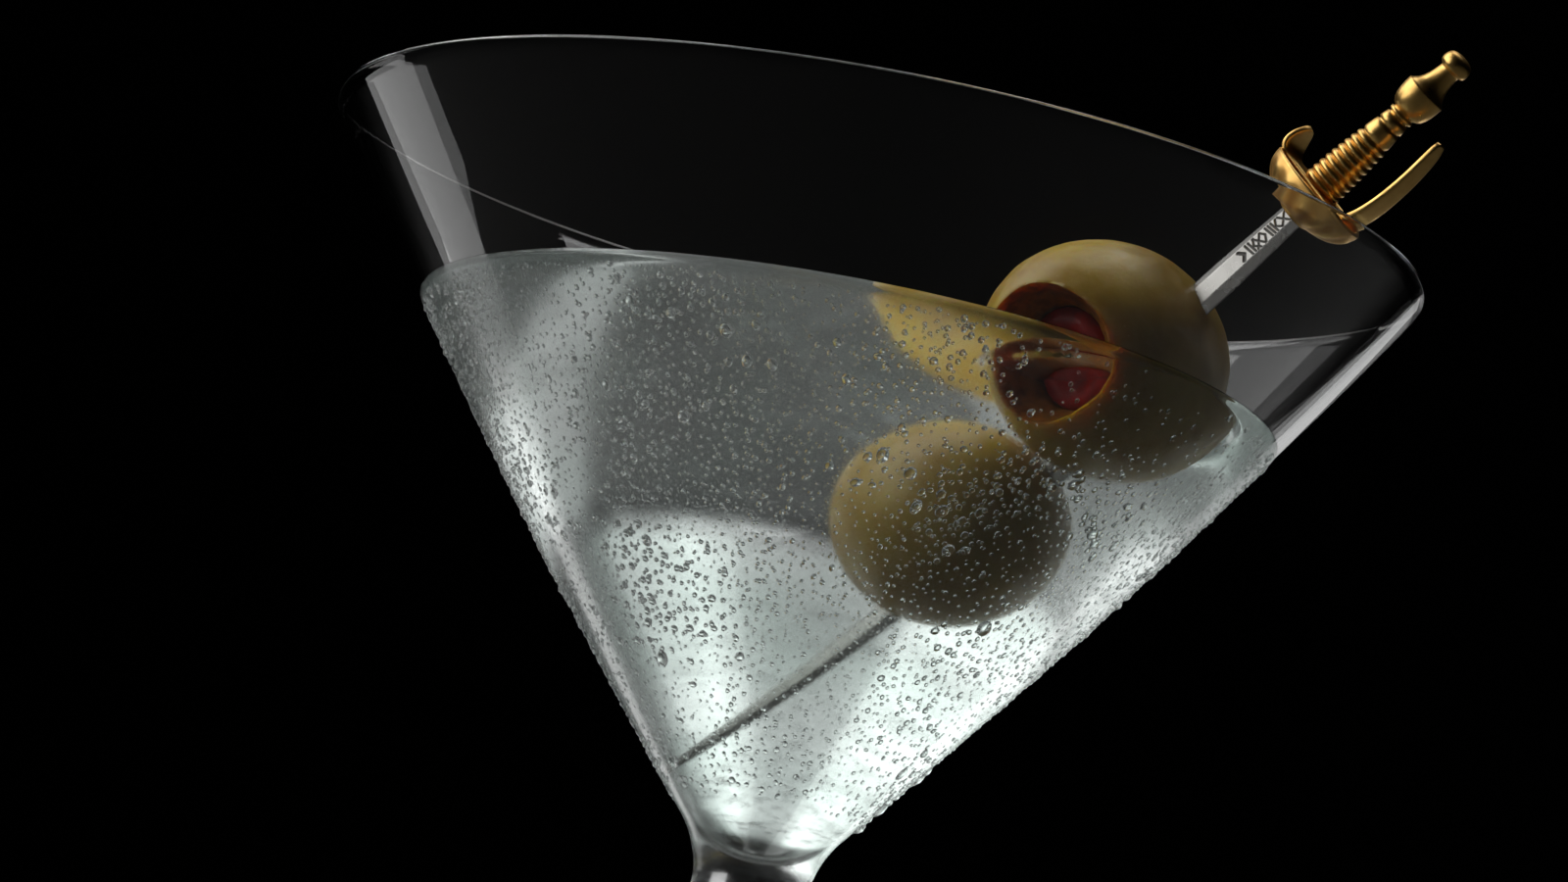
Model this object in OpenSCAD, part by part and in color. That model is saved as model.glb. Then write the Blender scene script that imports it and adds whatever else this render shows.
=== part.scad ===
// Martini cocktail: a stemmed V-shaped glass, the drink in it, and two olives on a small sword pick.
// The origin is the centre of the foot's underside and +Z points up the stem.
// The pick leans on the rim at the front right, and its point rests low on the far wall of the bowl.

/* [Glass] */
// Height of the rim above the table
glass_h = 172; // [143:1:207]
// Outer diameter of the rim
rim_d = 110; // [96:1:132]
// Thickness of the rounded lip
lip = 0.9; // [0.8:0.1:1.4]
// How far the bowl's wall swells outside a straight cone
bowl_bulge = 1.4; // [0:0.1:2.5]
// Depth from the rim to the lowest point of the bowl's inside
bowl_depth = 67; // [56:1:80]
// Radius of the rounded bottom of the bowl's inside
bowl_tip_r = 4; // [3:0.5:5]
// Outer radius of the bowl where it runs into the neck
neck_r = 8.2; // [7.5:0.1:10]
// Height of the neck's start above the lowest point of the bowl's inside
neck_rise = 3.5; // [2:0.5:6]
// Radius of the hollow curve from the bowl into the stem
neck_fillet = 11; // [8:0.5:14]
// Diameter of the stem at its narrowest
stem_d = 8; // [6:0.1:10]
// Height above the table where the foot has run into the stem
stem_foot_h = 34; // [24:1:45]
// Diameter of the foot
foot_d = 76; // [66:1:86]
// Thickness of the foot at its edge
foot_edge = 1.8; // [1.4:0.1:3]

/* [Drink] */
// Depth of the liquid's surface below the rim
fill_below_rim = 17.6; // [14:0.2:24]

/* [Pick] */
// Share of the rim's radius from the lip in to the pick's axis, at the height of the rim
pick_inset = 0.1582; // [0.1454:0.0001:0.25]
// Direction, seen from above, in which the pick leans on the rim
pick_lean_dir = -33.7; // [-60:0.1:0]
// Direction, seen from above, of the pick's point
pick_point_dir = 170.8; // [150:0.1:200]
// Height of the pick's point above the lowest point of the bowl's inside
pick_point_rise = 8.3; // [6:0.1:14]
// Turn of the pick about its own axis
pick_turn = -6.3; // [-30:0.1:30]
// Distance from the height of the rim up the pick to the guard's underside
guard_seat = 0.5; // [0.3:0.1:3]
// Width of the blade at the guard
blade_root_w = 2.9; // [2.4:0.1:3.4]
// Width of the blade at its widest, beside the upper olive
blade_w = 3.6; // [3:0.1:4.2]
// Thickness of the blade
blade_t = 1.3; // [0.9:0.1:1.6]
// Share of the blade's width that each of its two flats takes
blade_flat = 0.46; // [0.3:0.02:0.6]

/* [Hilt] */
// Length of the oval dish of the guard
dish_len = 12; // [10.8:0.1:13]
// Width of the oval dish of the guard
dish_wid = 9.4; // [8.6:0.1:10.4]
// Depth of the dish of the guard
dish_depth = 3.5; // [2.8:0.1:4]
// Thickness of the dish's wall and of the strap
plate_t = 0.65; // [0.5:0.05:0.8]
// Width of the strap where it crosses the dish
strap_w = 3.2; // [2.6:0.1:3.6]
// Height of the knuckle bow's tip above the dish
bow_h = 12.2; // [10:0.1:14]
// Height of the curled lobe opposite the bow above the dish
lobe_h = 3.4; // [2.6:0.1:4.2]
// Length of the ribbed grip
grip_len = 10.5; // [9:0.1:12.5]
// Diameter of the grip at its base
grip_d = 4.1; // [3.6:0.1:4.6]
// Number of ribs on the grip
grip_ribs = 9; // [6:1:12]
// Length of the pommel
pommel_len = 8.1; // [7:0.1:9.6]
// Diameter of the pommel's ridge
pommel_d = 4.45; // [4:0.05:5.2]

/* [Olives] */
// Length of the upper olive
upper_len = 28.4; // [24:0.1:30]
// Diameter of the upper olive
upper_d = 21; // [18:0.1:23]
// Length of the lower olive
lower_len = 24; // [20:0.1:27]
// Diameter of the lower olive
lower_d = 20.8; // [17:0.1:22]
// Clear gap between the two olives along the pick
olive_gap = 0.4; // [0.2:0.1:2]
// Clear gap between an olive and the wall of the bowl
wall_gap = 0.3; // [0.2:0.1:2]
// How far each olive's middle sits off the pick's axis, away from the wall
skew_in = 1.9; // [1:0.1:2.4]
// How far each olive's middle sits off the pick's axis, to the side
skew_side = 1.5; // [0:0.1:2]
// Diameter of the pitted hole at the skin
hole_d = 12.6; // [9:0.1:13.5]
// Diameter of the pit's cavity further in
cavity_d = 8.6; // [6:0.1:9.2]
// Distance from the olive's middle to the cavity's floor
cavity_floor = 3.6; // [3:0.1:5]
// Height of the pimento plug above the cavity's floor
pimento_h = 4.2; // [3:0.1:5.5]
// Clearance round the pimento plug
pimento_gap = 0.1; // [0.05:0.05:0.4]

/* [Hidden] */

rim_r = rim_d / 2;
lip_z = glass_h - lip / 2;
tip_z = glass_h - bowl_depth;
neck_z = tip_z + neck_rise;
level_z = glass_h - fill_below_rim;
steps = 26;

// ---- The bowl's two walls: a straight cone plus a parabola that swells it ----
function swell(k) = 4 * bowl_bulge * k * (1 - k);
tip_tilt = atan2(rim_r - bowl_tip_r, bowl_depth - bowl_tip_r) + 3;
in_r0 = bowl_tip_r * cos(tip_tilt);
in_z0 = tip_z + bowl_tip_r * (1 - sin(tip_tilt));
in_r1 = rim_r - lip;
function inner_r(z) = let (k = (z - in_z0) / (lip_z - in_z0)) in_r0 + (in_r1 - in_r0) * k + swell(k);
function outer_r(z) = let (k = (z - neck_z) / (lip_z - neck_z)) neck_r + (rim_r - neck_r) * k + swell(k);
in_slope = atan2(in_r1 - in_r0, lip_z - in_z0);

// ---- Neck, stem and foot: an arc, then two Bezier curves ----
function bezier(p, t) = (1 - t) ^ 3 * p[0] + 3 * (1 - t) ^ 2 * t * p[1] + 3 * (1 - t) * t ^ 2 * p[2] + t ^ 3 * p[3];
neck_tilt = atan2(rim_r - neck_r + 4 * bowl_bulge, lip_z - neck_z);
stem_tilt = 5;
neck_c = [neck_r + neck_fillet * cos(neck_tilt), neck_z - neck_fillet * sin(neck_tilt)];
function neck_pt(a) = neck_c - neck_fillet * [cos(a), -sin(a)];
stem_top = neck_pt(stem_tilt);
stem_r = stem_d / 2;
stem_pull = 12;
stem_curve = [stem_top, stem_top - stem_pull * [tan(stem_tilt), 1], [stem_r, stem_foot_h + 2 * stem_pull],
    [stem_r, stem_foot_h]];
foot_r = foot_d / 2;
foot_round = 0.7;
foot_curve = [[foot_r - foot_round, foot_edge], [stem_r + 7, foot_edge + 2.6], [stem_r, foot_edge + 6],
    [stem_r, stem_foot_h]];

lip_pts = [for (a = [15:15:165]) [rim_r - lip / 2 + lip / 2 * cos(a), lip_z + lip / 2 * sin(a)]];
outer_pts = [for (i = [0:steps]) let (z = neck_z + (lip_z - neck_z) * i / steps) [outer_r(z), z]];
neck_pts = [for (i = [1:10]) neck_pt(stem_tilt + (neck_tilt - stem_tilt) * (10 - i) / 10)];
stem_pts = [for (i = [1:14]) bezier(stem_curve, i / 14)];
foot_pts = [for (i = [19:-1:0]) bezier(foot_curve, i / 20)];
edge_pts = [[foot_r, foot_edge - foot_round], [foot_r, foot_round], [foot_r - foot_round, 0], [0, 0]];

// Points up the inside of the bowl: the wet part from the axis to the drink's surface, then the dry part
wet_pts = concat([for (i = [0:5]) let (a = 90 - (90 - tip_tilt) * i / 6)
    [bowl_tip_r * cos(a), tip_z + bowl_tip_r * (1 - sin(a))]],
    [for (i = [0:steps]) let (z = in_z0 + (level_z - in_z0) * i / steps) [inner_r(z), z]]);
dry_pts = [for (i = [1:8]) let (z = level_z + (lip_z - level_z) * i / 8) [inner_r(z), z]];

// ---- The pick's line: from its point on the far wall to its rest on the rim ----
point_z = tip_z + pick_point_rise;
point_r = inner_r(point_z) - 0.4;
pick_point = [point_r * cos(pick_point_dir), point_r * sin(pick_point_dir), point_z];
rest_r = rim_r * (1 - pick_inset);
pick_rest = [rest_r * cos(pick_lean_dir), rest_r * sin(pick_lean_dir), glass_h];
pick_len = norm(pick_rest - pick_point);
pick_dir = (pick_rest - pick_point) / pick_len;
pick_polar = acos(pick_dir.z);
pick_azim = atan2(pick_dir.y, pick_dir.x);
lean_x = [cos(pick_azim) * cos(pick_polar), sin(pick_azim) * cos(pick_polar), -sin(pick_polar)];
lean_y = [-sin(pick_azim), cos(pick_azim), 0];
pick_x = cos(pick_turn) * lean_x + sin(pick_turn) * lean_y;
pick_y = cos(pick_turn) * lean_y - sin(pick_turn) * lean_x;
// The point x, y across the pick and s down it from the rim, in the glass's frame
function on_pick(x, y, s) = pick_rest + x * pick_x + y * pick_y - s * pick_dir;

module pick_frame() {
    translate(pick_rest) rotate([0, pick_polar, pick_azim]) rotate([0, 0, pick_turn]) children();
}

// ---- Where the olives sit: as high on the pick as the bowl's wall lets them ----
upper_dir = [228, -5.8];
upper_hole_dir = [238, -14];
lower_dir = [266, -18];
function aim(d) = [cos(d[0]) * cos(d[1]), sin(d[0]) * cos(d[1]), sin(d[1])];
// How far an olive of length l and diameter d, aimed along h, reaches in the direction n
function reach(l, d, h, n) = sqrt((d / 2) ^ 2 + ((l / 2) ^ 2 - (d / 2) ^ 2) * (h * n) ^ 2);
function wall_room(c, l, d, h) = let (q = norm([c.x, c.y]),
    n = [c.x / q * cos(in_slope), c.y / q * cos(in_slope), -sin(in_slope)])
    (inner_r(c.z) - q) * cos(in_slope) - reach(l, d, h, n);
function settle(s, l, d, h) =
    s > pick_len - l / 2 || wall_room(on_pick(-skew_in, -skew_side, s), l, d, h) >= wall_gap ? s
    : settle(s + 0.1, l, d, h);
upper_s = settle(upper_d / 2 + 2, upper_len, upper_d, aim(upper_dir));
pair_s = reach(upper_len, upper_d, aim(upper_dir), pick_dir) + reach(lower_len, lower_d, aim(lower_dir), pick_dir);
lower_s = settle(upper_s + pair_s + olive_gap, lower_len, lower_d, aim(lower_dir));
upper_c = on_pick(-skew_in, -skew_side, upper_s);
lower_c = on_pick(-skew_in, -skew_side, lower_s);

module aimed(c, d) {
    translate(c) rotate([0, 90 - d[1], d[0]]) children();
}

// The plain outer form of an olive: an ellipse turned about its length
module olive_form(l, d) {
    rotate_extrude($fn = 96)
        polygon([for (i = [0:28]) let (a = 180 * i / 28) [d / 2 * sin(a), -l / 2 * cos(a)]]);
}

// The hollow left by the pit: a wide mouth that draws in to a round-floored bore
module pit_form() {
    mouth_z = upper_len / 2 - 2.6;
    rotate_extrude($fn = 72)
        polygon([[0, cavity_floor], [cavity_d / 2 - 0.8, cavity_floor], [cavity_d / 2, cavity_floor + 0.8],
            [cavity_d / 2, mouth_z - 3.2], [cavity_d / 2 + 0.5, mouth_z - 1.9], [hole_d / 2 - 0.5, mouth_z - 0.5],
            [hole_d / 2, mouth_z + 0.3], [hole_d / 2 + 0.6, upper_len / 2 + 2], [0, upper_len / 2 + 2]]);
}

// ---- The blade: a ridged bar that widens past the guard and tapers to its point ----
blade_top = guard_seat;
function blade_ring(z, w, t) = let (x = w / 2, f = x * blade_flat, y = t / 2)
    [[x, 0, z], [f, y, z], [-f, y, z], [-x, 0, z], [-f, -y, z], [f, -y, z]];
taper_z = -(lower_s + lower_d / 2 - 3);
blade_rings = [blade_ring(-pick_len, 0.5, 0.3), blade_ring(-pick_len + 5, blade_w * 0.36, blade_t * 0.6),
    blade_ring(taper_z, blade_w * 0.92, blade_t), blade_ring(-upper_s, blade_w, blade_t),
    blade_ring(-8, blade_w, blade_t), blade_ring(blade_top, blade_root_w, blade_t)];

// Skin over rings of equal size, lowest ring first, closed at both ends
module skin(rings) {
    n = len(rings[0]);
    m = len(rings);
    polyhedron([for (r = rings) each r],
        concat([[for (i = [0:n - 1]) i]], [[for (i = [n - 1:-1:0]) (m - 1) * n + i]],
            [for (j = [0:m - 2]) for (i = [0:n - 1]) let (k = (i + 1) % n)
                [j * n + i, (j + 1) * n + i, (j + 1) * n + k, j * n + k]]), convexity = 4);
}

// ---- The hilt ----
dish_rim_z = guard_seat + dish_depth;
strap_sink = 0.15;
strap_z = dish_rim_z + plate_t / 2 - strap_sink;
grip_z = strap_z + plate_t / 2;
side_x = dish_len / 2 - 0.25;
lobe_curve = [[-side_x + 1.2, strap_z], [-side_x - 0.1, strap_z + 0.1], [-side_x - 0.5, strap_z + 1.2],
    [-side_x - 0.15, dish_rim_z + lobe_h]];
bow_curve = [[side_x - 1.3, strap_z], [side_x + 0.5, strap_z + 0.4], [side_x + 0.9, strap_z + bow_h * 0.6],
    [side_x - 0.1, dish_rim_z + bow_h]];
// The strap's line across the pick: down the lobe, straight over the dish, up the bow
lobe_line = [for (i = [10:-1:0]) bezier(lobe_curve, i / 10)];
bow_line = [for (i = [0:20]) bezier(bow_curve, i / 20)];
strap_line = concat(lobe_line, bow_line);
strap_n = len(strap_line);
function unit(v) = v / norm(v);
function strap_tangent(i) = unit(strap_line[min(i + 1, strap_n - 1)] - strap_line[max(i - 1, 0)]);
// Half width along the strap: a round lobe, a full band over the dish, a bow that narrows to a round tip
function strap_half(i) = i < 11 ? strap_w / 2 * sqrt(1 - ((10 - i) / 10.6) ^ 4) * (1 + 0.18 * sin(18 * (10 - i)))
    : strap_w / 2 * (1 - 0.36 * (i - 11) / 20) * sqrt(1 - ((i - 11) / 20.6) ^ 14);
strap_rings = [for (i = [0:strap_n - 1]) let (c = strap_line[i], t = strap_tangent(i), n = [-t.y, t.x],
    a = c + n * plate_t / 2, b = c - n * plate_t / 2, h = strap_half(i))
    [[a.x, h, a.y], [a.x, -h, a.y], [b.x, -h, b.y], [b.x, h, b.y]]];

module dish_half(grow) {
    scale([dish_len / 2 + grow, dish_wid / 2 + grow, dish_depth + grow]) sphere(r = 1, $fn = 44);
}

// Radius of the grip without its ribs, k from 0 at its base to 1 at the pommel
function grip_r(k) = grip_d / 2 * (1 - 0.06 * k - 0.38 * k ^ 2);
rib_span = 0.68;
rib_pitch = grip_len * rib_span / grip_ribs;
rib_pts = [for (i = [0:grip_ribs - 1]) for (a = [0:45:180]) let (z = rib_pitch * (i + 0.45 + (1 - cos(a)) * 0.36))
    [grip_r(z / grip_len) - 0.1 + 0.24 * sin(a), grip_z + z]];
band_pts = [for (k = [0.71, 0.75, 0.83, 0.845, 0.86, 0.95, 0.955]) let (dip = k == 0.845 ? 0.14 : 0)
    [grip_r(k) + 0.02 - dip, grip_z + k * grip_len]];
pommel_z = grip_z + grip_len;
// The pommel's outline as shares of its ridge radius and of its length
pommel_shape = [[0.52, -0.04], [0.58, -0.02], [0.58, 0.01], [0.54, 0.03], [0.72, 0.07], [0.86, 0.13], [0.95, 0.21],
    [0.99, 0.3], [1, 0.39], [0.8, 0.435], [0.66, 0.5], [0.56, 0.58], [0.5, 0.68], [0.47, 0.76], [0.54, 0.785],
    [0.64, 0.8], [0.68, 0.84], [0.68, 0.89], [0.62, 0.94], [0.5, 0.975], [0.3, 0.995], [0, 1]];
pommel_pts = [for (p = pommel_shape) [p.x * pommel_d / 2, pommel_z + p.y * pommel_len]];

module glass() {
    color([0.86, 0.9, 0.9, 0.35])
        rotate_extrude($fn = 180)
            polygon(concat(edge_pts, wet_pts, dry_pts, [for (i = [len(lip_pts) - 1:-1:0]) lip_pts[i]],
                [for (i = [steps:-1:0]) outer_pts[i]], neck_pts, stem_pts, foot_pts));
}

module drink() {
    color([0.72, 0.78, 0.76, 0.6])
        difference() {
            rotate_extrude($fn = 180) polygon(concat(wet_pts, [[0, level_z]]));
            aimed(upper_c, upper_dir) olive_form(upper_len, upper_d);
            aimed(lower_c, lower_dir) olive_form(lower_len, lower_d);
            pick_frame() skin(blade_rings);
        }
}

module olive_upper() {
    color([0.62, 0.52, 0.3])
        difference() {
            aimed(upper_c, upper_dir) olive_form(upper_len, upper_d);
            aimed(upper_c, upper_hole_dir) pit_form();
            pick_frame() skin(blade_rings);
        }
}

module pimento() {
    plug_r = cavity_d / 2 - pimento_gap;
    color([0.62, 0.09, 0.03])
        aimed(upper_c, upper_hole_dir)
            rotate_extrude($fn = 60)
                polygon(concat([[0, cavity_floor], [plug_r - 1, cavity_floor], [plug_r, cavity_floor + 1]],
                    [for (a = [0:15:90]) [plug_r - 1.4 + 1.4 * cos(a), cavity_floor + pimento_h - 1.4 + 1.4 * sin(a)]],
                    [[0, cavity_floor + pimento_h]]));
}

module olive_lower() {
    color([0.5, 0.46, 0.24])
        difference() {
            aimed(lower_c, lower_dir) olive_form(lower_len, lower_d);
            pick_frame() skin(blade_rings);
        }
}

module blade() {
    color([0.78, 0.78, 0.78])
        pick_frame() skin(blade_rings);
}

module guard() {
    color([0.83, 0.62, 0.27])
        pick_frame() {
            difference() {
                translate([0, 0, dish_rim_z]) dish_half(0);
                translate([0, 0, dish_rim_z]) dish_half(-plate_t);
                translate([-dish_len, -dish_len, dish_rim_z]) cube([2 * dish_len, 2 * dish_len, 2 * dish_depth]);
                translate([-dish_len, -dish_len, guard_seat - 2]) cube([2 * dish_len, 2 * dish_len, 2.15]);
            }
            skin(strap_rings);
            translate([0, 0, guard_seat]) cylinder(r = blade_root_w / 2 + 0.3, h = dish_depth + 0.1, $fn = 48);
        }
}

module handle() {
    color([0.86, 0.64, 0.27])
        pick_frame()
            rotate_extrude($fn = 72)
                polygon(concat([[0, grip_z], [grip_d / 2 + 0.05, grip_z]], rib_pts, band_pts, pommel_pts));
}

glass();
drink();
olive_upper();
pimento();
olive_lower();
blade();
guard();
handle();
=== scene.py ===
"""Martini cocktail: the chilled glass and its dew, the drink, two olives and the sword pick they hang on."""

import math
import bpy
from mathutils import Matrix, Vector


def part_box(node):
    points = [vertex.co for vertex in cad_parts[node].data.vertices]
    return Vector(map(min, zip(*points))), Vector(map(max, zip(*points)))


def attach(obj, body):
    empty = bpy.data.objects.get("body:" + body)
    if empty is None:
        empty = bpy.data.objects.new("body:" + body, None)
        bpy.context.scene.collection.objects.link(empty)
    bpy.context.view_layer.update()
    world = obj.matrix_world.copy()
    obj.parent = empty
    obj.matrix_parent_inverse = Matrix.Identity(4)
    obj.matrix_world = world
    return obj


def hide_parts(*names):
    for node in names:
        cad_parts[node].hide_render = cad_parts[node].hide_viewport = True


bl_info = {
    "name": "Martini Cocktail",
    "version": (1, 0, 0),
    "blender": (4, 5, 0),
    "location": "View3D > Sidebar > Cocktail",
    "description": "Builds a chilled cocktail glass with its drink, dew, olives and sword pick",
    "category": "Object",
}

import bpy
import numpy as np
from bpy.props import FloatProperty, FloatVectorProperty, IntProperty, PointerProperty
from mathutils import Matrix, Vector

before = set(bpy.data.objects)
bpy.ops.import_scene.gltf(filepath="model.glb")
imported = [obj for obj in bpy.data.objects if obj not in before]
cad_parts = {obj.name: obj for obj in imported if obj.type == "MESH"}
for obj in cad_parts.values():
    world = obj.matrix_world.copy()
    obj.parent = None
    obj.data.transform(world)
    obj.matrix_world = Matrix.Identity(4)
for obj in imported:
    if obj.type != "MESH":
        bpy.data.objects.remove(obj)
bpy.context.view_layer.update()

MM = 0.001
TAU = 2 * math.pi
BODY = "root"

GLASS_LOW, GLASS_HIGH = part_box("glass")
DRINK_LOW, DRINK_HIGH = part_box("drink")
RIM_Z = GLASS_HIGH.z
RIM_R = GLASS_HIGH.x
LEVEL_Z = DRINK_HIGH.z
TIP_Z = DRINK_LOW.z


def length(name, default, description):
    """A size in metres, shown in the sidebar as a length."""
    return FloatProperty(name=name, default=default, description=description, unit="LENGTH", precision=5)


def angle(name, degrees, description):
    """An angle kept in radians and shown in degrees."""
    return FloatProperty(name=name, default=math.radians(degrees), description=description, subtype="ANGLE")


def share(name, default, description):
    """A plain number from 0 to 1."""
    return FloatProperty(name=name, default=default, description=description, min=0, max=1, subtype="FACTOR")


def colour(name, default, description):
    """A linear colour."""
    return FloatVectorProperty(name=name, default=default, description=description, size=3, min=0, max=1,
                               subtype="COLOR")


# ---------------------------------------------------------------- sizes and colours that a user may change

class GlassSettings(bpy.types.PropertyGroup):
    """Sizes of the stemmed glass."""

    lip: length("Lip", 0.9 * MM, "Thickness of the rounded lip")
    bulge: length("Bulge", 1.4 * MM, "How far the bowl's wall swells outside a straight cone")
    tip_r: length("Tip radius", 4 * MM, "Radius of the rounded bottom of the bowl's inside")
    neck_r: length("Neck radius", 8.2 * MM, "Outer radius of the bowl where it runs into the neck")
    neck_depth: length("Neck depth", 63.5 * MM, "Depth from the rim to where the bowl runs into the neck")
    neck_fillet: length("Neck fillet", 11 * MM, "Radius of the hollow curve from the bowl into the stem")
    stem_r: length("Stem radius", 4 * MM, "Radius of the stem at its narrowest")
    stem_foot_h: length("Stem foot height", 34 * MM, "Height where the foot has run into the stem")
    foot_r: length("Foot radius", 38 * MM, "Radius of the foot")
    foot_edge: length("Foot edge", 1.8 * MM, "Thickness of the foot at its edge")
    sides: IntProperty(name="Sides", default=224, min=48, description="Points round the glass")


class FrostSettings(bpy.types.PropertyGroup):
    """The film of fine dew that greys the cold part of the bowl."""

    spot: length("Spot", 0.34 * MM, "Spacing of the finest dew")
    cover: share("Cover", 0.46, "Share of the cold wall that the finest dew covers")
    clear_rough: share("Clear roughness", 0.15, "Roughness of the wall between the specks of dew")
    dew_rough: share("Dew roughness", 0.27, "Roughness of the specks of dew")
    edge: length("Edge", 0.7 * MM, "Height of the clear band under the drink's level")
    fade: length("Fade", 3 * MM, "Height over which the dew thins out at its bottom")
    below: length("Below", 9 * MM, "How far the film of dew runs down the neck")
    bare_dir: angle("Bare direction", -44, "Direction from above of the barer spot by the upper olive")
    bare_wide: angle("Bare width", 34, "Half the width of the barer spot")
    bare_depth: length("Bare depth", 14 * MM, "Depth of the barer spot below the drink's level")
    bare_share: share("Bare share", 0.62, "How far the film of dew is thinned in the barer spot")


class DrinkSettings(bpy.types.PropertyGroup):
    """The liquid."""

    sink: length("Sink", 0.16 * MM, "How far the liquid reaches into the glass's wall")
    wall_rise: length("Wall rise", 0.6 * MM, "Height to which the liquid climbs the wall")
    olive_rise: length("Olive rise", 0.9 * MM, "Height to which the liquid climbs the olive")
    creep: length("Creep", 1.9 * MM, "Distance over which the climb dies away")
    tint: colour("Tint", (0.89, 0.975, 0.94), "Cast of the liquid")
    rings: IntProperty(name="Rings", default=100, min=24, description="Rings across the liquid's top")
    sides: IntProperty(name="Sides", default=288, min=48, description="Points round the liquid")


class DewSettings(bpy.types.PropertyGroup):
    """Beads of condensation on the outside of the bowl."""

    fine_d: length("Fine", 0.36 * MM, "Typical width of the fine beads")
    small_d: length("Small", 0.52 * MM, "Typical width of the small beads")
    large_d: length("Large", 0.86 * MM, "Typical width of the large beads")
    height: share("Height", 0.34, "Height of a bead as a share of its width")
    sink: length("Sink", 0.05 * MM, "How far a bead's base is sunk into the wall")
    seed: IntProperty(name="Seed", default=7, description="Seed of the scatter")


class OliveSettings(bpy.types.PropertyGroup):
    """Sizes and colours of the two olives and the pimento."""

    upper_len: length("Upper length", 28.4 * MM, "Length of the upper olive")
    upper_d: length("Upper width", 21 * MM, "Width of the upper olive")
    lower_len: length("Lower length", 24 * MM, "Length of the lower olive")
    lower_d: length("Lower width", 20.8 * MM, "Width of the lower olive")
    skew_in: length("Skew in", 1.9 * MM, "How far each olive's middle sits off the pick, away from the wall")
    skew_side: length("Skew side", 1.5 * MM, "How far each olive's middle sits off the pick, to the side")
    hole_d: length("Hole", 12.6 * MM, "Width of the pitted hole at the skin")
    cavity_d: length("Cavity", 8.6 * MM, "Width of the pit's cavity further in")
    cavity_floor: length("Cavity floor", 3.6 * MM, "Distance from the olive's middle to the cavity's floor")
    pimento_h: length("Pimento height", 4.2 * MM, "Height of the pimento above the cavity's floor")
    skin: colour("Skin", (0.64, 0.46, 0.095), "Colour of the olive's skin")
    skin_dark: colour("Dark skin", (0.42, 0.26, 0.028), "Colour of the skin's darker side")
    flesh: colour("Flesh", (0.50, 0.17, 0.008), "Colour of the cut flesh inside the hole")
    pepper: colour("Pepper", (0.55, 0.005, 0.001), "Colour of the pimento")


class PickSettings(bpy.types.PropertyGroup):
    """The pick's line and its blade."""

    inset: length("Inset", 8.7 * MM, "Distance from the lip in to the pick, at the height of the rim")
    lean_dir: angle("Lean direction", -33.7, "Direction, seen from above, in which the pick leans on the rim")
    point_dir: angle("Point direction", 170.8, "Direction, seen from above, of the pick's point")
    point_rise: length("Point rise", 8.3 * MM, "Height of the point above the bottom of the bowl's inside")
    turn: angle("Turn", -6.3, "Turn of the pick about its own axis")
    guard_seat: length("Guard seat", 0.5 * MM, "Distance up the pick from the rim's height to the guard")
    root_w: length("Root width", 2.9 * MM, "Width of the blade at the guard")
    blade_w: length("Width", 3.6 * MM, "Width of the blade beside the upper olive")
    blade_t: length("Thickness", 1.3 * MM, "Thickness of the blade")
    groove: length("Groove", 0.11 * MM, "Depth of the engraving")
    steel: colour("Steel", (0.36, 0.35, 0.33), "Colour of the blade")


class HiltSettings(bpy.types.PropertyGroup):
    """The gilt guard and handle."""

    dish_len: length("Dish length", 12 * MM, "Length of the oval dish")
    dish_wid: length("Dish width", 9.4 * MM, "Width of the oval dish")
    dish_depth: length("Dish depth", 3.5 * MM, "Depth of the dish")
    plate_t: length("Plate", 0.65 * MM, "Thickness of the dish's wall and of the strap")
    strap_w: length("Strap width", 3.2 * MM, "Width of the strap where it crosses the dish")
    bow_h: length("Bow height", 12.2 * MM, "Height of the knuckle bow's tip above the dish")
    lobe_h: length("Lobe height", 3.4 * MM, "Height of the curled lobe above the dish")
    grip_len: length("Grip length", 10.5 * MM, "Length of the ribbed grip")
    grip_d: length("Grip width", 4.1 * MM, "Width of the grip at its base")
    ribs: IntProperty(name="Ribs", default=9, min=3, description="Number of ribs on the grip")
    pommel_len: length("Pommel length", 8.1 * MM, "Length of the pommel")
    pommel_d: length("Pommel width", 4.45 * MM, "Width of the pommel's ridge")
    emboss: length("Emboss", 0.13 * MM, "Depth of the flutes pressed into the dish")
    gilt: colour("Gilt", (1.0, 0.63, 0.2), "Colour of the gilding")


class StageSettings(bpy.types.PropertyGroup):
    """The floor, the backdrop, the lights and the camera."""

    floor: colour("Floor", (0.62, 0.62, 0.61), "Colour of the floor")
    backdrop: colour("Backdrop", (0.004, 0.004, 0.0045), "Colour of the backdrop")
    floor_r: length("Floor radius", 3.2, "Radius of the floor")
    floor_fill: FloatProperty(name="Floor fill", default=0.08, min=0,
                              description="Radiance of the floor's own lamp")
    floor_behind: FloatProperty(name="Floor behind", default=1.6, min=0,
                                description="Radiance of the lamp over the floor behind the glass")
    backdrop_r: length("Backdrop radius", 3.0, "Radius of the round backdrop")
    camera_back: length("Camera distance", 0.66, "Distance of the camera in front of the stem's axis")
    camera_drop: length("Camera drop", 0.15417, "Depth of the camera below the rim")
    yaw: angle("Yaw", -0.43, "Turn of the camera to the right of straight ahead")
    pitch: angle("Pitch", 11.036, "Tilt of the camera above level")
    roll: angle("Roll", 10.913, "Roll of the camera")
    lens: FloatProperty(name="Lens", default=155.88, description="Focal length in millimetres on 36 mm")


# ---------------------------------------------------------------- meshes from whole arrays

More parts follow.
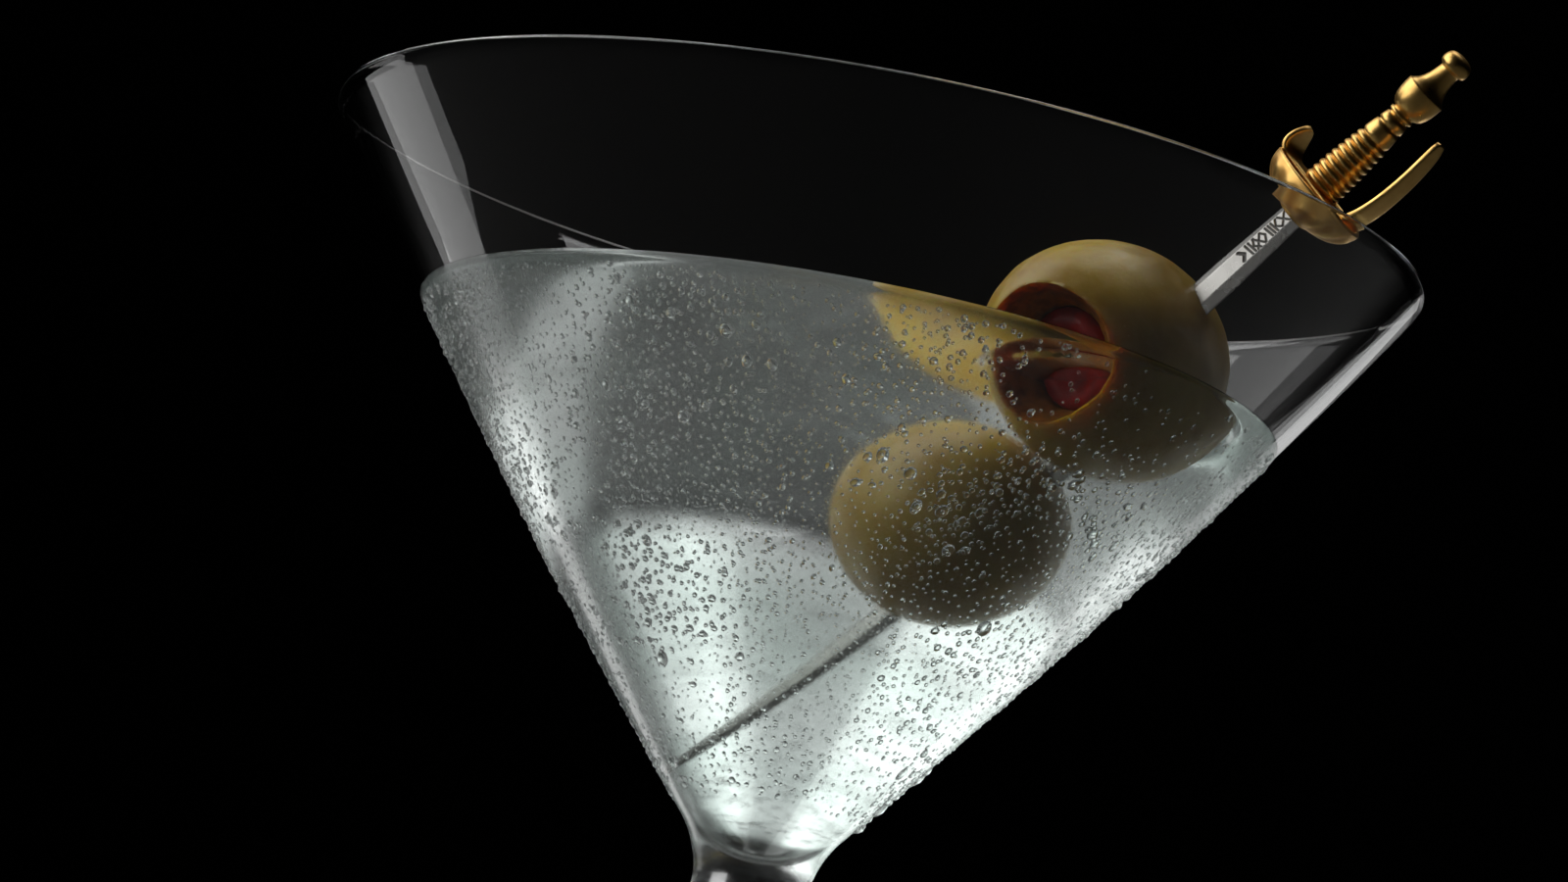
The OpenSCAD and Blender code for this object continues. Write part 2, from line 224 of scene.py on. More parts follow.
def closed_skin(rings, first, last):
    """Vertices and faces of a closed skin over rings, an array of (rows, columns, 3) points: quads join each
    ring to the next, every ring runs round to its own start, and a fan of triangles closes each end on the
    points first and last."""
    rows, columns = rings.shape[:2]
    vertices = np.vstack([np.reshape(first, (1, 3)), rings.reshape(-1, 3), np.reshape(last, (1, 3))])
    grid = 1 + np.arange(rows * columns).reshape(rows, columns)
    beside = np.roll(grid, -1, axis=1)
    quads = np.stack([grid[:-1], beside[:-1], beside[1:], grid[1:]], -1).reshape(-1, 4)
    start = np.stack([np.zeros(columns, int), beside[0], grid[0]], -1)
    end = np.stack([grid[-1], beside[-1], np.full(columns, len(vertices) - 1)], -1)
    return vertices, [quads, start, end]


def volume(vertices, faces):
    """Signed volume inside closed faces: a sixth of the triple product of every fan triangle."""
    total = 0.0
    for block in faces:
        for k in range(1, block.shape[1] - 1):
            a, b, c = (vertices[block[:, i]] for i in (0, k, k + 1))
            total += np.einsum("ij,ij->", a, np.cross(b, c)) / 6
    return total


def make_piece(name, vertices, faces, material, replaces=(), marks=None):
    """A shaded mesh object from whole arrays, faces turned outwards, riding on the body. marks holds one
    number per vertex for each named attribute that the material reads."""
    if volume(vertices, faces) < 0:
        faces = [block[:, ::-1] for block in faces]
    mesh = bpy.data.meshes.new(name)
    corners = np.concatenate([block.ravel() for block in faces]).astype(np.int32)
    counts = np.concatenate([np.full(len(block), block.shape[1]) for block in faces])
    mesh.vertices.add(len(vertices))
    mesh.vertices.foreach_set("co", vertices.astype(np.float32).ravel())
    mesh.loops.add(len(corners))
    mesh.loops.foreach_set("vertex_index", corners)
    mesh.polygons.add(len(counts))
    mesh.polygons.foreach_set("loop_start", np.concatenate([[0], np.cumsum(counts)[:-1]]).astype(np.int32))
    mesh.update(calc_edges=True)
    for mark, values in (marks or {}).items():
        attribute = mesh.attributes.new(mark, "FLOAT", "POINT")
        attribute.data.foreach_set("value", values.astype(np.float32))
    if mesh.validate():
        raise RuntimeError(f"{name} has a broken face")
    mesh.shade_smooth()
    mesh.materials.append(material)
    piece = bpy.data.objects.new(name, mesh)
    bpy.context.scene.collection.objects.link(piece)
    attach(piece, BODY)
    if replaces:
        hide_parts(*replaces)
    return piece


def turned(outline, sides):
    """Rings of an outline of (radius, height) points turned about Z."""
    around = np.arange(sides) * TAU / sides
    radius, height = outline[:, 0, None], outline[:, 1, None]
    return np.stack([radius * np.cos(around), radius * np.sin(around), height + 0 * around], -1)


def bezier(points, steps):
    """Points along a cubic Bezier curve: the four corner points weighted by the Bernstein polynomials."""
    t = np.linspace(0, 1, steps)[:, None]
    a, b, c, d = np.array(points, float)
    return (1 - t) ** 3 * a + 3 * (1 - t) ** 2 * t * b + 3 * (1 - t) * t ** 2 * c + t ** 3 * d


def arc(centre, radius, start, end, steps):
    """Points on a circle from one angle to another, both in radians."""
    turn = np.linspace(start, end, steps)
    return np.stack([centre[0] + radius * np.cos(turn), centre[1] + radius * np.sin(turn)], -1)


def smoothstep(low, high, x):
    """A soft step from 0 at low to 1 at high."""
    t = np.clip((x - low) / (high - low), 0, 1)
    return t * t * (3 - 2 * t)


def waves(points, pitch, seed, count=9):
    """Smooth unevenness from -1 to 1: the mean of sine waves of about the given pitch, each in a random
    direction with a random start."""
    draw = np.random.default_rng(seed)
    heading = draw.normal(size=(count, 3))
    heading *= (TAU / pitch * draw.uniform(0.6, 1.5, count) / np.linalg.norm(heading, axis=1))[:, None]
    start = draw.uniform(0, TAU, count)
    return np.sin(points @ heading.T + start).sum(-1) / math.sqrt(count) / 1.5


# ---------------------------------------------------------------- node trees

def blank_material(name):
    """A new material with its node tree and its shader."""
    material = bpy.data.materials.new(name)
    material.use_nodes = True
    return material, material.node_tree, material.node_tree.nodes["Principled BSDF"]


def node(tree, kind, inputs=None, **settings):
    """A shader node with its settings and its inputs, each a value or another node's output."""
    made = tree.nodes.new("ShaderNode" + kind)
    for key, value in settings.items():
        setattr(made, key, value)
    put(tree, made, inputs or {})
    return made


def put(tree, target, inputs):
    """Sets or links a node's inputs."""
    for key, value in inputs.items():
        if isinstance(value, bpy.types.NodeSocket):
            tree.links.new(value, target.inputs[key])
        else:
            target.inputs[key].default_value = value


def maths(tree, operation, a, b=0.0, clamp=False):
    """The output of a Math node."""
    return node(tree, "Math", {0: a, 1: b}, operation=operation, use_clamp=clamp).outputs[0]


def ramp(tree, value, low, high, to_low=0.0, to_high=1.0):
    """value taken smoothly from low to high onto to_low to to_high."""
    made = node(tree, "MapRange", {"Value": value, "From Min": low, "From Max": high, "To Min": to_low,
                                   "To Max": to_high}, interpolation_type="SMOOTHSTEP")
    return made.outputs["Result"]


def place(tree):
    """The point on the piece, in the frame's metres."""
    return node(tree, "TexCoord").outputs["Object"]


def noise(tree, where, pitch, detail=2.0, roughness=0.5):
    """Cloudy noise from 0 to 1 whose lumps are about pitch metres apart."""
    return node(tree, "TexNoise", {"Vector": where, "Scale": 1 / pitch, "Detail": detail,
                                   "Roughness": roughness}).outputs["Fac"]


def blend_colour(tree, amount, a, b):
    """A colour between a and b."""
    made = node(tree, "Mix", data_type="RGBA")
    sockets = [s for s in made.inputs if s.type == "RGBA"]
    for socket, value in zip(sockets, (a, b)):
        if isinstance(value, bpy.types.NodeSocket):
            tree.links.new(value, socket)
        else:
            socket.default_value = (*value[:3], 1)
    if isinstance(amount, bpy.types.NodeSocket):
        tree.links.new(amount, made.inputs[0])
    else:
        made.inputs[0].default_value = amount
    return [s for s in made.outputs if s.type == "RGBA"][0]


def let_light_through(tree, shader, tint):
    """Lamps' shadow rays and soft bounces pass straight through the shader, so the inside is lit evenly."""
    path = node(tree, "LightPath").outputs
    passes = maths(tree, "MAXIMUM", path["Is Shadow Ray"], path["Is Diffuse Ray"])
    clear = node(tree, "BsdfTransparent", {"Color": (*tint, 1)})
    mixed = node(tree, "MixShader", {0: passes, 1: shader.outputs[0], 2: clear.outputs[0]})
    tree.links.new(mixed.outputs[0], tree.nodes["Material Output"].inputs["Surface"])


# ---------------------------------------------------------------- the glass

def wall(z, low_r, low_z, high_r, high_z, bulge):
    """Radius of a bowl's wall at height z: a straight cone plus a parabola that swells it."""
    k = (z - low_z) / (high_z - low_z)
    return low_r + (high_r - low_r) * k + 4 * bulge * k * (1 - k)


def lip_z(g):
    """Height of the middle of the rounded lip."""
    return RIM_Z - g.lip / 2


def outer_r(g, z):
    """Outer radius of the bowl at height z."""
    return wall(z, g.neck_r, RIM_Z - g.neck_depth, RIM_R, lip_z(g), g.bulge)


def tip_tilt(g):
    """Angle at which the rounded tip meets the wall."""
    depth = RIM_Z - TIP_Z
    return math.atan2(RIM_R - g.tip_r, depth - g.tip_r) + math.radians(3)


def inner_start(g):
    """Radius and height where the inner wall leaves the rounded tip."""
    tilt = tip_tilt(g)
    return g.tip_r * math.cos(tilt), TIP_Z + g.tip_r * (1 - math.sin(tilt))


def inner_r(g, z):
    """Inner radius of the bowl at height z."""
    low_r, low_z = inner_start(g)
    return wall(z, low_r, low_z, RIM_R - g.lip, lip_z(g), g.bulge)


def tip_points(g, grow, steps):
    """The rounded inside bottom of the bowl from near the axis to the wall, grown outwards by grow."""
    return arc((0, TIP_Z + g.tip_r), g.tip_r + grow, -math.pi / 2, -tip_tilt(g), steps)[1:]


def glass_outline(g):
    """The glass's section: across the foot's underside, over its edge, up the stem by two Bezier curves,
    round the neck's arc, up the outer wall, over the lip, down the inner wall and round the tip. With it
    goes 1 for each point of the outer wall and 0 elsewhere."""
    neck_z = RIM_Z - g.neck_depth
    neck_tilt = math.atan2(RIM_R - g.neck_r + 4 * g.bulge, lip_z(g) - neck_z)
    stem_tilt = math.radians(5)
    centre = (g.neck_r + g.neck_fillet * math.cos(neck_tilt), neck_z - g.neck_fillet * math.sin(neck_tilt))
    neck = arc(centre, g.neck_fillet, math.pi - stem_tilt, math.pi - neck_tilt, 16)
    edge_r = 0.7 * MM
    pull = 12 * MM
    underside = np.stack([np.linspace(0.06, 1, 14) * (g.foot_r - edge_r), np.zeros(14)], -1)
    low_edge = arc((g.foot_r - edge_r, edge_r), edge_r, -math.pi / 2, 0, 7)[1:]
    high_edge = arc((g.foot_r - edge_r, g.foot_edge - edge_r), edge_r, 0, math.pi / 2, 7)
    foot = bezier([(g.foot_r - edge_r, g.foot_edge), (g.stem_r + 7 * MM, g.foot_edge + 2.6 * MM),
                   (g.stem_r, g.foot_edge + 6 * MM), (g.stem_r, g.stem_foot_h)], 40)[1:]
    stem = bezier([(g.stem_r, g.stem_foot_h), (g.stem_r, g.stem_foot_h + 2 * pull),
                   (neck[0, 0] + pull * math.tan(stem_tilt), neck[0, 1] - pull), neck[0]], 30)[1:]
    up = np.linspace(neck_z, lip_z(g), 64)[1:]
    outside = np.stack([outer_r(g, up), up], -1)
    lip = arc((RIM_R - g.lip / 2, lip_z(g)), g.lip / 2, 0, math.pi, 11)[1:-1]
    _, low_z = inner_start(g)
    down = np.linspace(lip_z(g), low_z, 64)
    inside = np.stack([inner_r(g, down), down], -1)
    tip = tip_points(g, 0, 9)[:-1][::-1]
    parts = [underside, low_edge, high_edge, foot, stem, neck[1:], outside, lip, inside, tip]
    outer = np.concatenate([np.full(len(p), float(i < 7)) for i, p in enumerate(parts)])
    return np.concatenate(parts), outer


def bare_spot(f, points):
    """1 in the middle of the bowl's barer spot and 0 outside it: a soft patch by direction and height."""
    turn = np.arctan2(points[:, 1], points[:, 0]) - f.bare_dir
    sideways = smoothstep(f.bare_wide, 0.45 * f.bare_wide, np.abs(turn))
    return sideways * smoothstep(LEVEL_Z - f.bare_depth, LEVEL_Z - 0.35 * f.bare_depth, points[:, 2])


def clear_glass(f):
    """Clear glass whose cold outer wall is greyed by rough specks of dew, kept to where the attribute cold
    is high."""
    material, tree, shader = blank_material("clear_glass")
    where = place(tree)
    cold = node(tree, "Attribute", attribute_name="cold").outputs["Fac"]
    ragged = maths(tree, "MULTIPLY", cold, maths(tree, "ADD", noise(tree, where, 1.6 * MM, 0.0), 0.4))
    fog = ramp(tree, ragged, 0.2, 0.6)
    cells = node(tree, "TexVoronoi", {"Vector": where, "Scale": 1 / f.spot, "Randomness": 0.9})
    specks = ramp(tree, cells.outputs["Distance"], f.cover, f.cover * 0.6)
    dewy = maths(tree, "MULTIPLY", fog, specks)
    rough = node(tree, "Mix", {0: dewy, 2: f.clear_rough, 3: f.dew_rough}).outputs[0]
    roughness = node(tree, "Mix", {0: fog, 2: 0.0, 3: rough}).outputs[0]
    put(tree, shader, {"Base Color": (0.985, 0.99, 0.99, 1), "Roughness": roughness, "IOR": 1.5,
                       "Transmission Weight": 1.0})
    let_light_through(tree, shader, (0.93, 0.94, 0.94))
    return material


class COCKTAIL_OT_glass(bpy.types.Operator):
    """Build the stemmed glass"""

    bl_idname = "cocktail.glass"
    bl_label = "Glass"

    def execute(self, context):
        g, f = context.scene.cocktail_glass, context.scene.cocktail_frost
        outline, outer = glass_outline(g)
        rings = turned(outline, g.sides)
        vertices, faces = closed_skin(rings, (0, 0, 0), (0, 0, TIP_Z))
        neck_z = RIM_Z - g.neck_depth
        top = smoothstep(LEVEL_Z, LEVEL_Z - f.edge, outline[:, 1])
        bottom = smoothstep(neck_z - f.below - f.fade, neck_z - f.below, outline[:, 1])
        kept = 1 - f.bare_share * bare_spot(f, rings.reshape(-1, 3))
        cold = np.repeat(outer * top * bottom, g.sides) * kept
        marks = {"cold": np.concatenate([[0], cold, [0]])}
        make_piece("bowl_and_stem", vertices, faces, clear_glass(f), ["glass"], marks)
        return {"FINISHED"}


# ---------------------------------------------------------------- the pick's line and the olives' places

def pick_axes(p, g):
    """The pick's rest on the rim and its three axes: across it, to its side, and up it to the pommel."""
    point_z = TIP_Z + p.point_rise
    point_r = inner_r(g, point_z) - 0.4 * MM
    point = np.array([point_r * math.cos(p.point_dir), point_r * math.sin(p.point_dir), point_z])
    rest_r = RIM_R - p.inset
    rest = np.array([rest_r * math.cos(p.lean_dir), rest_r * math.sin(p.lean_dir), RIM_Z])
    up = (rest - point) / np.linalg.norm(rest - point)
    azimuth = math.atan2(up[1], up[0])
    side = np.array([-math.sin(azimuth), math.cos(azimuth), 0])
    lean = np.cross(side, up)
    across = math.cos(p.turn) * lean + math.sin(p.turn) * side
    beside = math.cos(p.turn) * side - math.sin(p.turn) * lean
    return rest, np.stack([across, beside, up]), float(np.linalg.norm(rest - point))


def on_pick(p, g, local):
    """Points in the pick's own axes, taken to the frame."""
    rest, axes, _ = pick_axes(p, g)
    return rest + local @ axes


def aim(azimuth, elevation):
    """A unit direction from two angles in degrees."""
    a, e = math.radians(azimuth), math.radians(elevation)
    return np.array([math.cos(a) * math.cos(e), math.sin(a) * math.cos(e), math.sin(e)])


UPPER_DIR = aim(228, -5.8)
HOLE_DIR = aim(238, -14)
LOWER_DIR = aim(266, -18)
OLIVE_SIDES = 160
PALE_SKIN = (0.74, 0.55, 0.22)
PALE_FLECK = (0.8, 0.62, 0.3)


def olive_centre(p, g, o, cad_node):
    """Middle of an olive: its height is its CAD box's middle, and its place follows the pick from there."""
    low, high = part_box(cad_node)
    rest, axes, _ = pick_axes(p, g)
    off = rest - o.skew_in * axes[0] - o.skew_side * axes[1]
    return off + axes[2] * ((low.z + high.z) / 2 - off[2]) / axes[2][2]


def olive_radius(heading, long_dir, size, girth):
    """Distance from an olive's middle to its skin along unit headings: an ellipse turned about its length."""
    along = (heading @ long_dir) ** 2
    return 1 / np.sqrt(along / (size / 2) ** 2 + (1 - along) / (girth / 2) ** 2)


def square_axes(direction):
    """Two unit vectors square to a direction and to each other."""
    side = np.cross([0, 0, 1], direction)
    side /= np.linalg.norm(side)
    return side, np.cross(direction, side)


def olive_bumps(points, seed):
    """Unevenness of an olive's skin in metres: broad dents and fine lumps."""
    return 0.16 * MM * waves(points, 14 * MM, seed) + 0.035 * MM * waves(points, 3.2 * MM, seed + 1)


# ---------------------------------------------------------------- the drink

def climb(points, centre, long_dir, size, girth, reach):
    """How strongly the liquid climbs an olive at points: 1 at its skin, dying away on both sides of it."""
    offset = points - centre
    distance = np.linalg.norm(offset, axis=-1)
    heading = offset / np.maximum(distance, 1e-9)[..., None]
    return np.exp(-np.abs(distance - olive_radius(heading, long_dir, size, girth)) / reach)


def cold_liquid(d):
    """Clear spirit with a faint cast."""
    material, tree, shader = blank_material("cold_liquid")
    streaks = noise(tree, place(tree), 9 * MM, 1.0)
    cast = blend_colour(tree, ramp(tree, streaks, 0.3, 0.7), d.tint, [0.5 + 0.5 * c for c in d.tint])
    put(tree, shader, {"Base Color": cast, "Roughness": 0.0, "IOR": 1.35, "Transmission Weight": 1.0})
    let_light_through(tree, shader, (0.97, 0.985, 0.98))
    return material


class COCKTAIL_OT_drink(bpy.types.Operator):
    """Fill the bowl up to the drink's level"""

    bl_idname = "cocktail.drink"
    bl_label = "Drink"

    def execute(self, context):
        scene = context.scene
        g, d, o, p = scene.cocktail_glass, scene.cocktail_drink, scene.cocktail_olives, scene.cocktail_pick
        top_z = LEVEL_Z + d.wall_rise
        _, low_z = inner_start(g)
        up = np.linspace(low_z, top_z, 70)
        side = np.stack([inner_r(g, up) + d.sink, up], -1)
        outline = np.concatenate([tip_points(g, d.sink, 9)[:-1], side])
        walls = turned(outline, d.sides)
        across = np.linspace(0, 1, d.rings + 1)[1:-1]
        radius = (inner_r(g, top_z) + d.sink) * (1 - across ** 1.35)
        sheet = turned(np.stack([radius, np.full_like(radius, LEVEL_Z)], -1), d.sides)
        gap = inner_r(g, top_z) - radius
        wall_climb = d.wall_rise * np.exp(-np.maximum(gap, 0) / d.creep)[:, None]
        centre = olive_centre(p, g, o, "olive_upper")
        olive_climb = d.olive_rise * climb(sheet, centre, UPPER_DIR, o.upper_len, o.upper_d, d.creep * 0.55)
        sheet[..., 2] += np.maximum(wall_climb, olive_climb)
        rings = np.concatenate([walls, sheet])
        vertices, faces = closed_skin(rings, (0, 0, TIP_Z - d.sink), (0, 0, LEVEL_Z))
        make_piece("drink_liquid", vertices, faces, cold_liquid(d), ["drink"])
        return {"FINISHED"}


# ---------------------------------------------------------------- the olives and the pimento

def olive_skin(o, name):
    """Moist olive: khaki skin that browns in clouds, paler flecks, waxy sheen, and orange flesh where the
    attribute cut is high."""
    material, tree, shader = blank_material(name)
    where = place(tree)
    clouds = noise(tree, where, 11 * MM, 3.0)
    mottle = noise(tree, where, 2.1 * MM, 4.0, 0.6)
    flecks = node(tree, "TexVoronoi", {"Vector": where, "Scale": 1 / (0.9 * MM)}).outputs["Distance"]
    base = blend_colour(tree, ramp(tree, clouds, 0.36, 0.66), o.skin, o.skin_dark)
    base = blend_colour(tree, ramp(tree, mottle, 0.35, 0.75, 0.0, 0.28), base, PALE_SKIN)
    base = blend_colour(tree, ramp(tree, flecks, 0.16, 0.05, 0.0, 0.35), base, PALE_FLECK)
    cut = node(tree, "Attribute", attribute_name="cut").outputs["Fac"]
    fibres = noise(tree, where, 0.9 * MM, 3.0)
    flesh = blend_colour(tree, ramp(tree, fibres, 0.3, 0.7), o.flesh, [c * 0.45 for c in o.flesh])
    base = blend_colour(tree, cut, base, flesh)
    lumps = noise(tree, where, 0.55 * MM, 3.0, 0.6)
    relief = node(tree, "Bump", {"Strength": 0.35, "Distance": 0.08 * MM, "Height": lumps})
    put(tree, shader, {"Base Color": base, "Roughness": ramp(tree, mottle, 0.3, 0.7, 0.3, 0.46), "IOR": 1.42,
                       "Subsurface Weight": 0.75, "Subsurface Scale": 1.0,
                       "Subsurface Radius": (4.2 * MM, 2.2 * MM, 0.4 * MM), "Normal": relief.outputs[0]})
    return material


def pitted_olive(o, centre):
    """The upper olive about its hole's axis: from the far pole over the skin to the hole's lip, round the lip
    and down a funnel and a bore to the cavity's floor. A skin point lies at the olive's radius along its
    heading; a funnel point takes its radius and its depth from a profile, and the lip's own depth fades out
    along the way in. Returns rings, both poles and how far each ring is cut flesh."""
    e1, e2 = square_axes(HOLE_DIR)
    around = np.arange(OLIVE_SIDES) * TAU / OLIVE_SIDES
    out = np.cos(around)[:, None] * e1 + np.sin(around)[:, None] * e2
    uneven = 1 + 0.045 * np.sin(2 * around + 0.6) + 0.03 * np.sin(3 * around + 2.1)
    mouth = o.hole_d / 2 * uneven
    polar = np.full(OLIVE_SIDES, 0.6)
    for _ in range(12):
        heading = np.cos(polar)[:, None] * HOLE_DIR + np.sin(polar)[:, None] * out
        polar = np.arcsin(np.clip(mouth / olive_radius(heading, UPPER_DIR, o.upper_len, o.upper_d), 0, 1))
    steps = np.linspace(0, 1, 90)[1:, None]
    lean = math.pi - (math.pi - polar) * steps
    heading = np.cos(lean)[..., None] * HOLE_DIR + np.sin(lean)[..., None] * out
    skin = centre + heading * olive_radius(heading, UPPER_DIR, o.upper_len, o.upper_d)[..., None]
    skin += heading * olive_bumps(skin, 3)[..., None]
    lip = skin[-1] - centre
    lip_depth = lip @ HOLE_DIR
    lip_out = np.einsum("ij,ij->i", lip, out)
    bore = o.cavity_d / 2
    depth = o.upper_len / 2 - 2.6 * MM
    funnel = np.concatenate([
        bezier([(1, 1), (0.985, 0.93), (0.95, 0.86), (0.9, 0.78)], 8)[1:],
        bezier([(0.9, 0.78), (0.72, 0.6), (0.3, 0.55), (0, 0.42)], 12)[1:],
        bezier([(0, 0.42), (-0.04, 0.3), (-0.03, 0.16), (0, 0.08)], 8)[1:]])
    widths = bore + (lip_out - bore) * funnel[:, 0, None]
    deep = o.cavity_floor + (depth - o.cavity_floor) * np.minimum(funnel[:, 1, None] / 0.86, 1)
    share_of_lip = smoothstep(0.6, 1.0, funnel[:, 1])[:, None]
    heights = lip_depth * share_of_lip + deep * (1 - share_of_lip)
    floor_turn = np.linspace(0, math.pi / 2, 7)[1:-1, None]
    corner = 0.8 * MM
    floor_w = bore - corner + corner * np.cos(floor_turn) + 0 * around
    floor_h = o.cavity_floor + corner * (1 - np.sin(floor_turn)) + 0 * around
    widths, heights = np.concatenate([widths, floor_w]), np.concatenate([heights, floor_h])
    inside = centre + widths[..., None] * out + heights[..., None] * HOLE_DIR
    inside += out * (0.1 * MM * waves(inside, 1.7 * MM, 5))[..., None]
    far = centre - HOLE_DIR * olive_radius(-HOLE_DIR, UPPER_DIR, o.upper_len, o.upper_d)
    cut = np.concatenate([np.zeros(len(skin) - 1), [0.35], np.ones(len(inside))])
    cut = np.repeat(cut, OLIVE_SIDES)
    return np.concatenate([skin, inside]), far, centre + HOLE_DIR * o.cavity_floor, cut


class COCKTAIL_OT_olives(bpy.types.Operator):
    """Build the two olives"""

    bl_idname = "cocktail.olives"
    bl_label = "Olives"

    def execute(self, context):
        scene = context.scene
        g, o, p = scene.cocktail_glass, scene.cocktail_olives, scene.cocktail_pick
        rings, far, near, cut = pitted_olive(o, olive_centre(p, g, o, "olive_upper"))
        vertices, faces = closed_skin(rings, far, near)
        marks = {"cut": np.concatenate([[0], cut, [1]])}
        skin = olive_skin(o, "upper_skin")
        make_piece("upper_olive_flesh", vertices, faces, skin, ["olive_upper"], marks)
        centre = olive_centre(p, g, o, "olive_lower")
        e1, e2 = square_axes(LOWER_DIR)
        around = np.arange(OLIVE_SIDES) * TAU / OLIVE_SIDES
        lean = np.linspace(0, math.pi, 100)[1:-1, None, None]
        out = np.cos(around)[:, None] * e1 + np.sin(around)[:, None] * e2
        heading = np.cos(lean) * LOWER_DIR + np.sin(lean) * out
        radius = olive_radius(heading, LOWER_DIR, o.lower_len, o.lower_d)
        points = centre + heading * radius[..., None]
        points += heading * olive_bumps(points, 11)[..., None]
        ends = [centre + s * LOWER_DIR * o.lower_len / 2 for s in (1, -1)]
        vertices, faces = closed_skin(points, *ends)
        marks = {"cut": np.zeros(len(vertices))}
        skin = olive_skin(o, "lower_skin")
        make_piece("lower_olive_flesh", vertices, faces, skin, ["olive_lower"], marks)
        return {"FINISHED"}


def wet_pepper(o):
    """Wet red pepper: deep red clouds, glossy and a little translucent."""
    material, tree, shader = blank_material("wet_pepper")
    where = place(tree)
    clouds = ramp(tree, noise(tree, where, 1.6 * MM, 3.0), 0.3, 0.7)
    base = blend_colour(tree, clouds, o.pepper, [c * 0.5 for c in o.pepper])
    grain = noise(tree, where, 0.7 * MM)
    relief = node(tree, "Bump", {"Strength": 0.4, "Distance": 0.08 * MM, "Height": grain})
    put(tree, shader, {"Base Color": base, "Roughness": 0.24, "Specular IOR Level": 0.22,
                       "Subsurface Weight": 0.25, "Subsurface Radius": (1.2 * MM, 0.12 * MM, 0.05 * MM),
                       "Normal": relief.outputs[0]})
    return material


class COCKTAIL_OT_pimento(bpy.types.Operator):
    """Build the pimento in the upper olive"""

    bl_idname = "cocktail.pimento"
    bl_label = "Pimento"

    def execute(self, context):
        scene = context.scene
        g, o, p = scene.cocktail_glass, scene.cocktail_olives, scene.cocktail_pick
        centre = olive_centre(p, g, o, "olive_upper")
        radius = o.cavity_d / 2 - 0.12 * MM
        curl = 1.2 * MM
        side = bezier([(0.3 * radius, 0), (0.9 * radius, 0), (radius, 0.2 * MM), (radius, 1.6 * MM)], 10)
        rim = arc((radius - curl, o.pimento_h - curl), curl, 0, math.pi / 2 + 0.5, 12)
        top = o.pimento_h
        dish = bezier([rim[-1], (radius * 0.45, top - 0.55 * MM), (radius * 0.3, top - 0.75 * MM),
                       (radius * 0.12, top - 0.8 * MM)], 8)[1:]
        outline = np.concatenate([side, rim[1:], dish])
        e1, e2 = square_axes(HOLE_DIR)
        local = turned(outline, 72)
        points = centre + local @ np.stack([e1, e2, HOLE_DIR]) + HOLE_DIR * o.cavity_floor
        swell = 0.22 * MM * waves(points, 4 * MM, 21) * smoothstep(2 * MM, 4 * MM, local[..., 2])
        points += HOLE_DIR * swell[..., None]
        ends = [centre + HOLE_DIR * (o.cavity_floor + h) for h in (0, o.pimento_h - 0.8 * MM)]
        vertices, faces = closed_skin(points, *ends)
        make_piece("pimento_plug", vertices, faces, wet_pepper(o), ["pimento"])
        return {"FINISHED"}


# ---------------------------------------------------------------- the blade

def stroke(u, v, start, end, width):
    """1 within half a width of the line from start to end, falling softly to 0 just outside it."""
    a, b = np.array(start), np.array(end)
    span = b - a
    t = np.clip(((u - a[0]) * span[0] + (v - a[1]) * span[1]) / (span @ span), 0, 1)
    distance = np.hypot(u - a[0] - t * span[0], v - a[1] - t * span[1])
    return smoothstep(width * 0.62, width * 0.3, distance)


def engraving(u, v):
    """Depth share of the engraved band, v along the blade in millimetres below the guard and u across its
    flat from -1 to 1: a wedge, two bars, a chevron, a cross, a turned chevron, three bars, a chevron and a
    cross."""
    line = 0.2
    strokes = [((-0.7, 6.3), (0.0, 5.8), 0.34), ((0.0, 5.8), (0.7, 6.2), 0.34)]
    bars = [5.35, 4.95, 2.75, 2.4, 2.05]
    strokes += [((-0.85, b), (0.85, b - 0.25), line) for b in bars]
    strokes += [((-0.85, s - 0.3), (0.1, s), line) for s in (4.6, 1.75)]
    strokes += [((0.1, s), (0.85, s - 0.55), line) for s in (4.6, 1.75)]
    strokes += [((-0.85, 3.5), (-0.1, 3.05), line), ((-0.1, 3.05), (0.85, 3.35), line)]
    strokes += [((-0.85, c + 0.45), (0.85, c - 0.5), line) for c in (3.95, 0.75)]
    strokes += [((-0.85, c - 0.5), (0.85, c + 0.45), line) for c in (3.95, 0.75)]
    scale = 0.85
    marks = [stroke(u * scale, v, (a[0] * scale, a[1]), (b[0] * scale, b[1]), w) for a, b, w in strokes]
    return np.max(marks, axis=0)


def brushed_steel(p):
    """Satin steel: fine lengthwise brushing, dulled and darkened in the engraved grooves."""
    material, tree, shader = blank_material("brushed_blade")
    where = place(tree)
    groove = node(tree, "Attribute", attribute_name="groove").outputs["Fac"]
    smudge = noise(tree, where, 2.5 * MM, 3.0)
    grain = noise(tree, where, 0.18 * MM, 2.0)
    base = blend_colour(tree, ramp(tree, groove, 0.1, 0.9, 0.0, 0.82), p.steel, (0.07, 0.065, 0.06))
    rough = maths(tree, "ADD", ramp(tree, smudge, 0.3, 0.7, 0.2, 0.33), maths(tree, "MULTIPLY", groove, 0.25))
    relief = node(tree, "Bump", {"Strength": 0.18, "Distance": 0.02 * MM, "Height": grain})
    put(tree, shader, {"Base Color": base, "Metallic": 1.0, "Roughness": rough, "Normal": relief.outputs[0]})
    return material


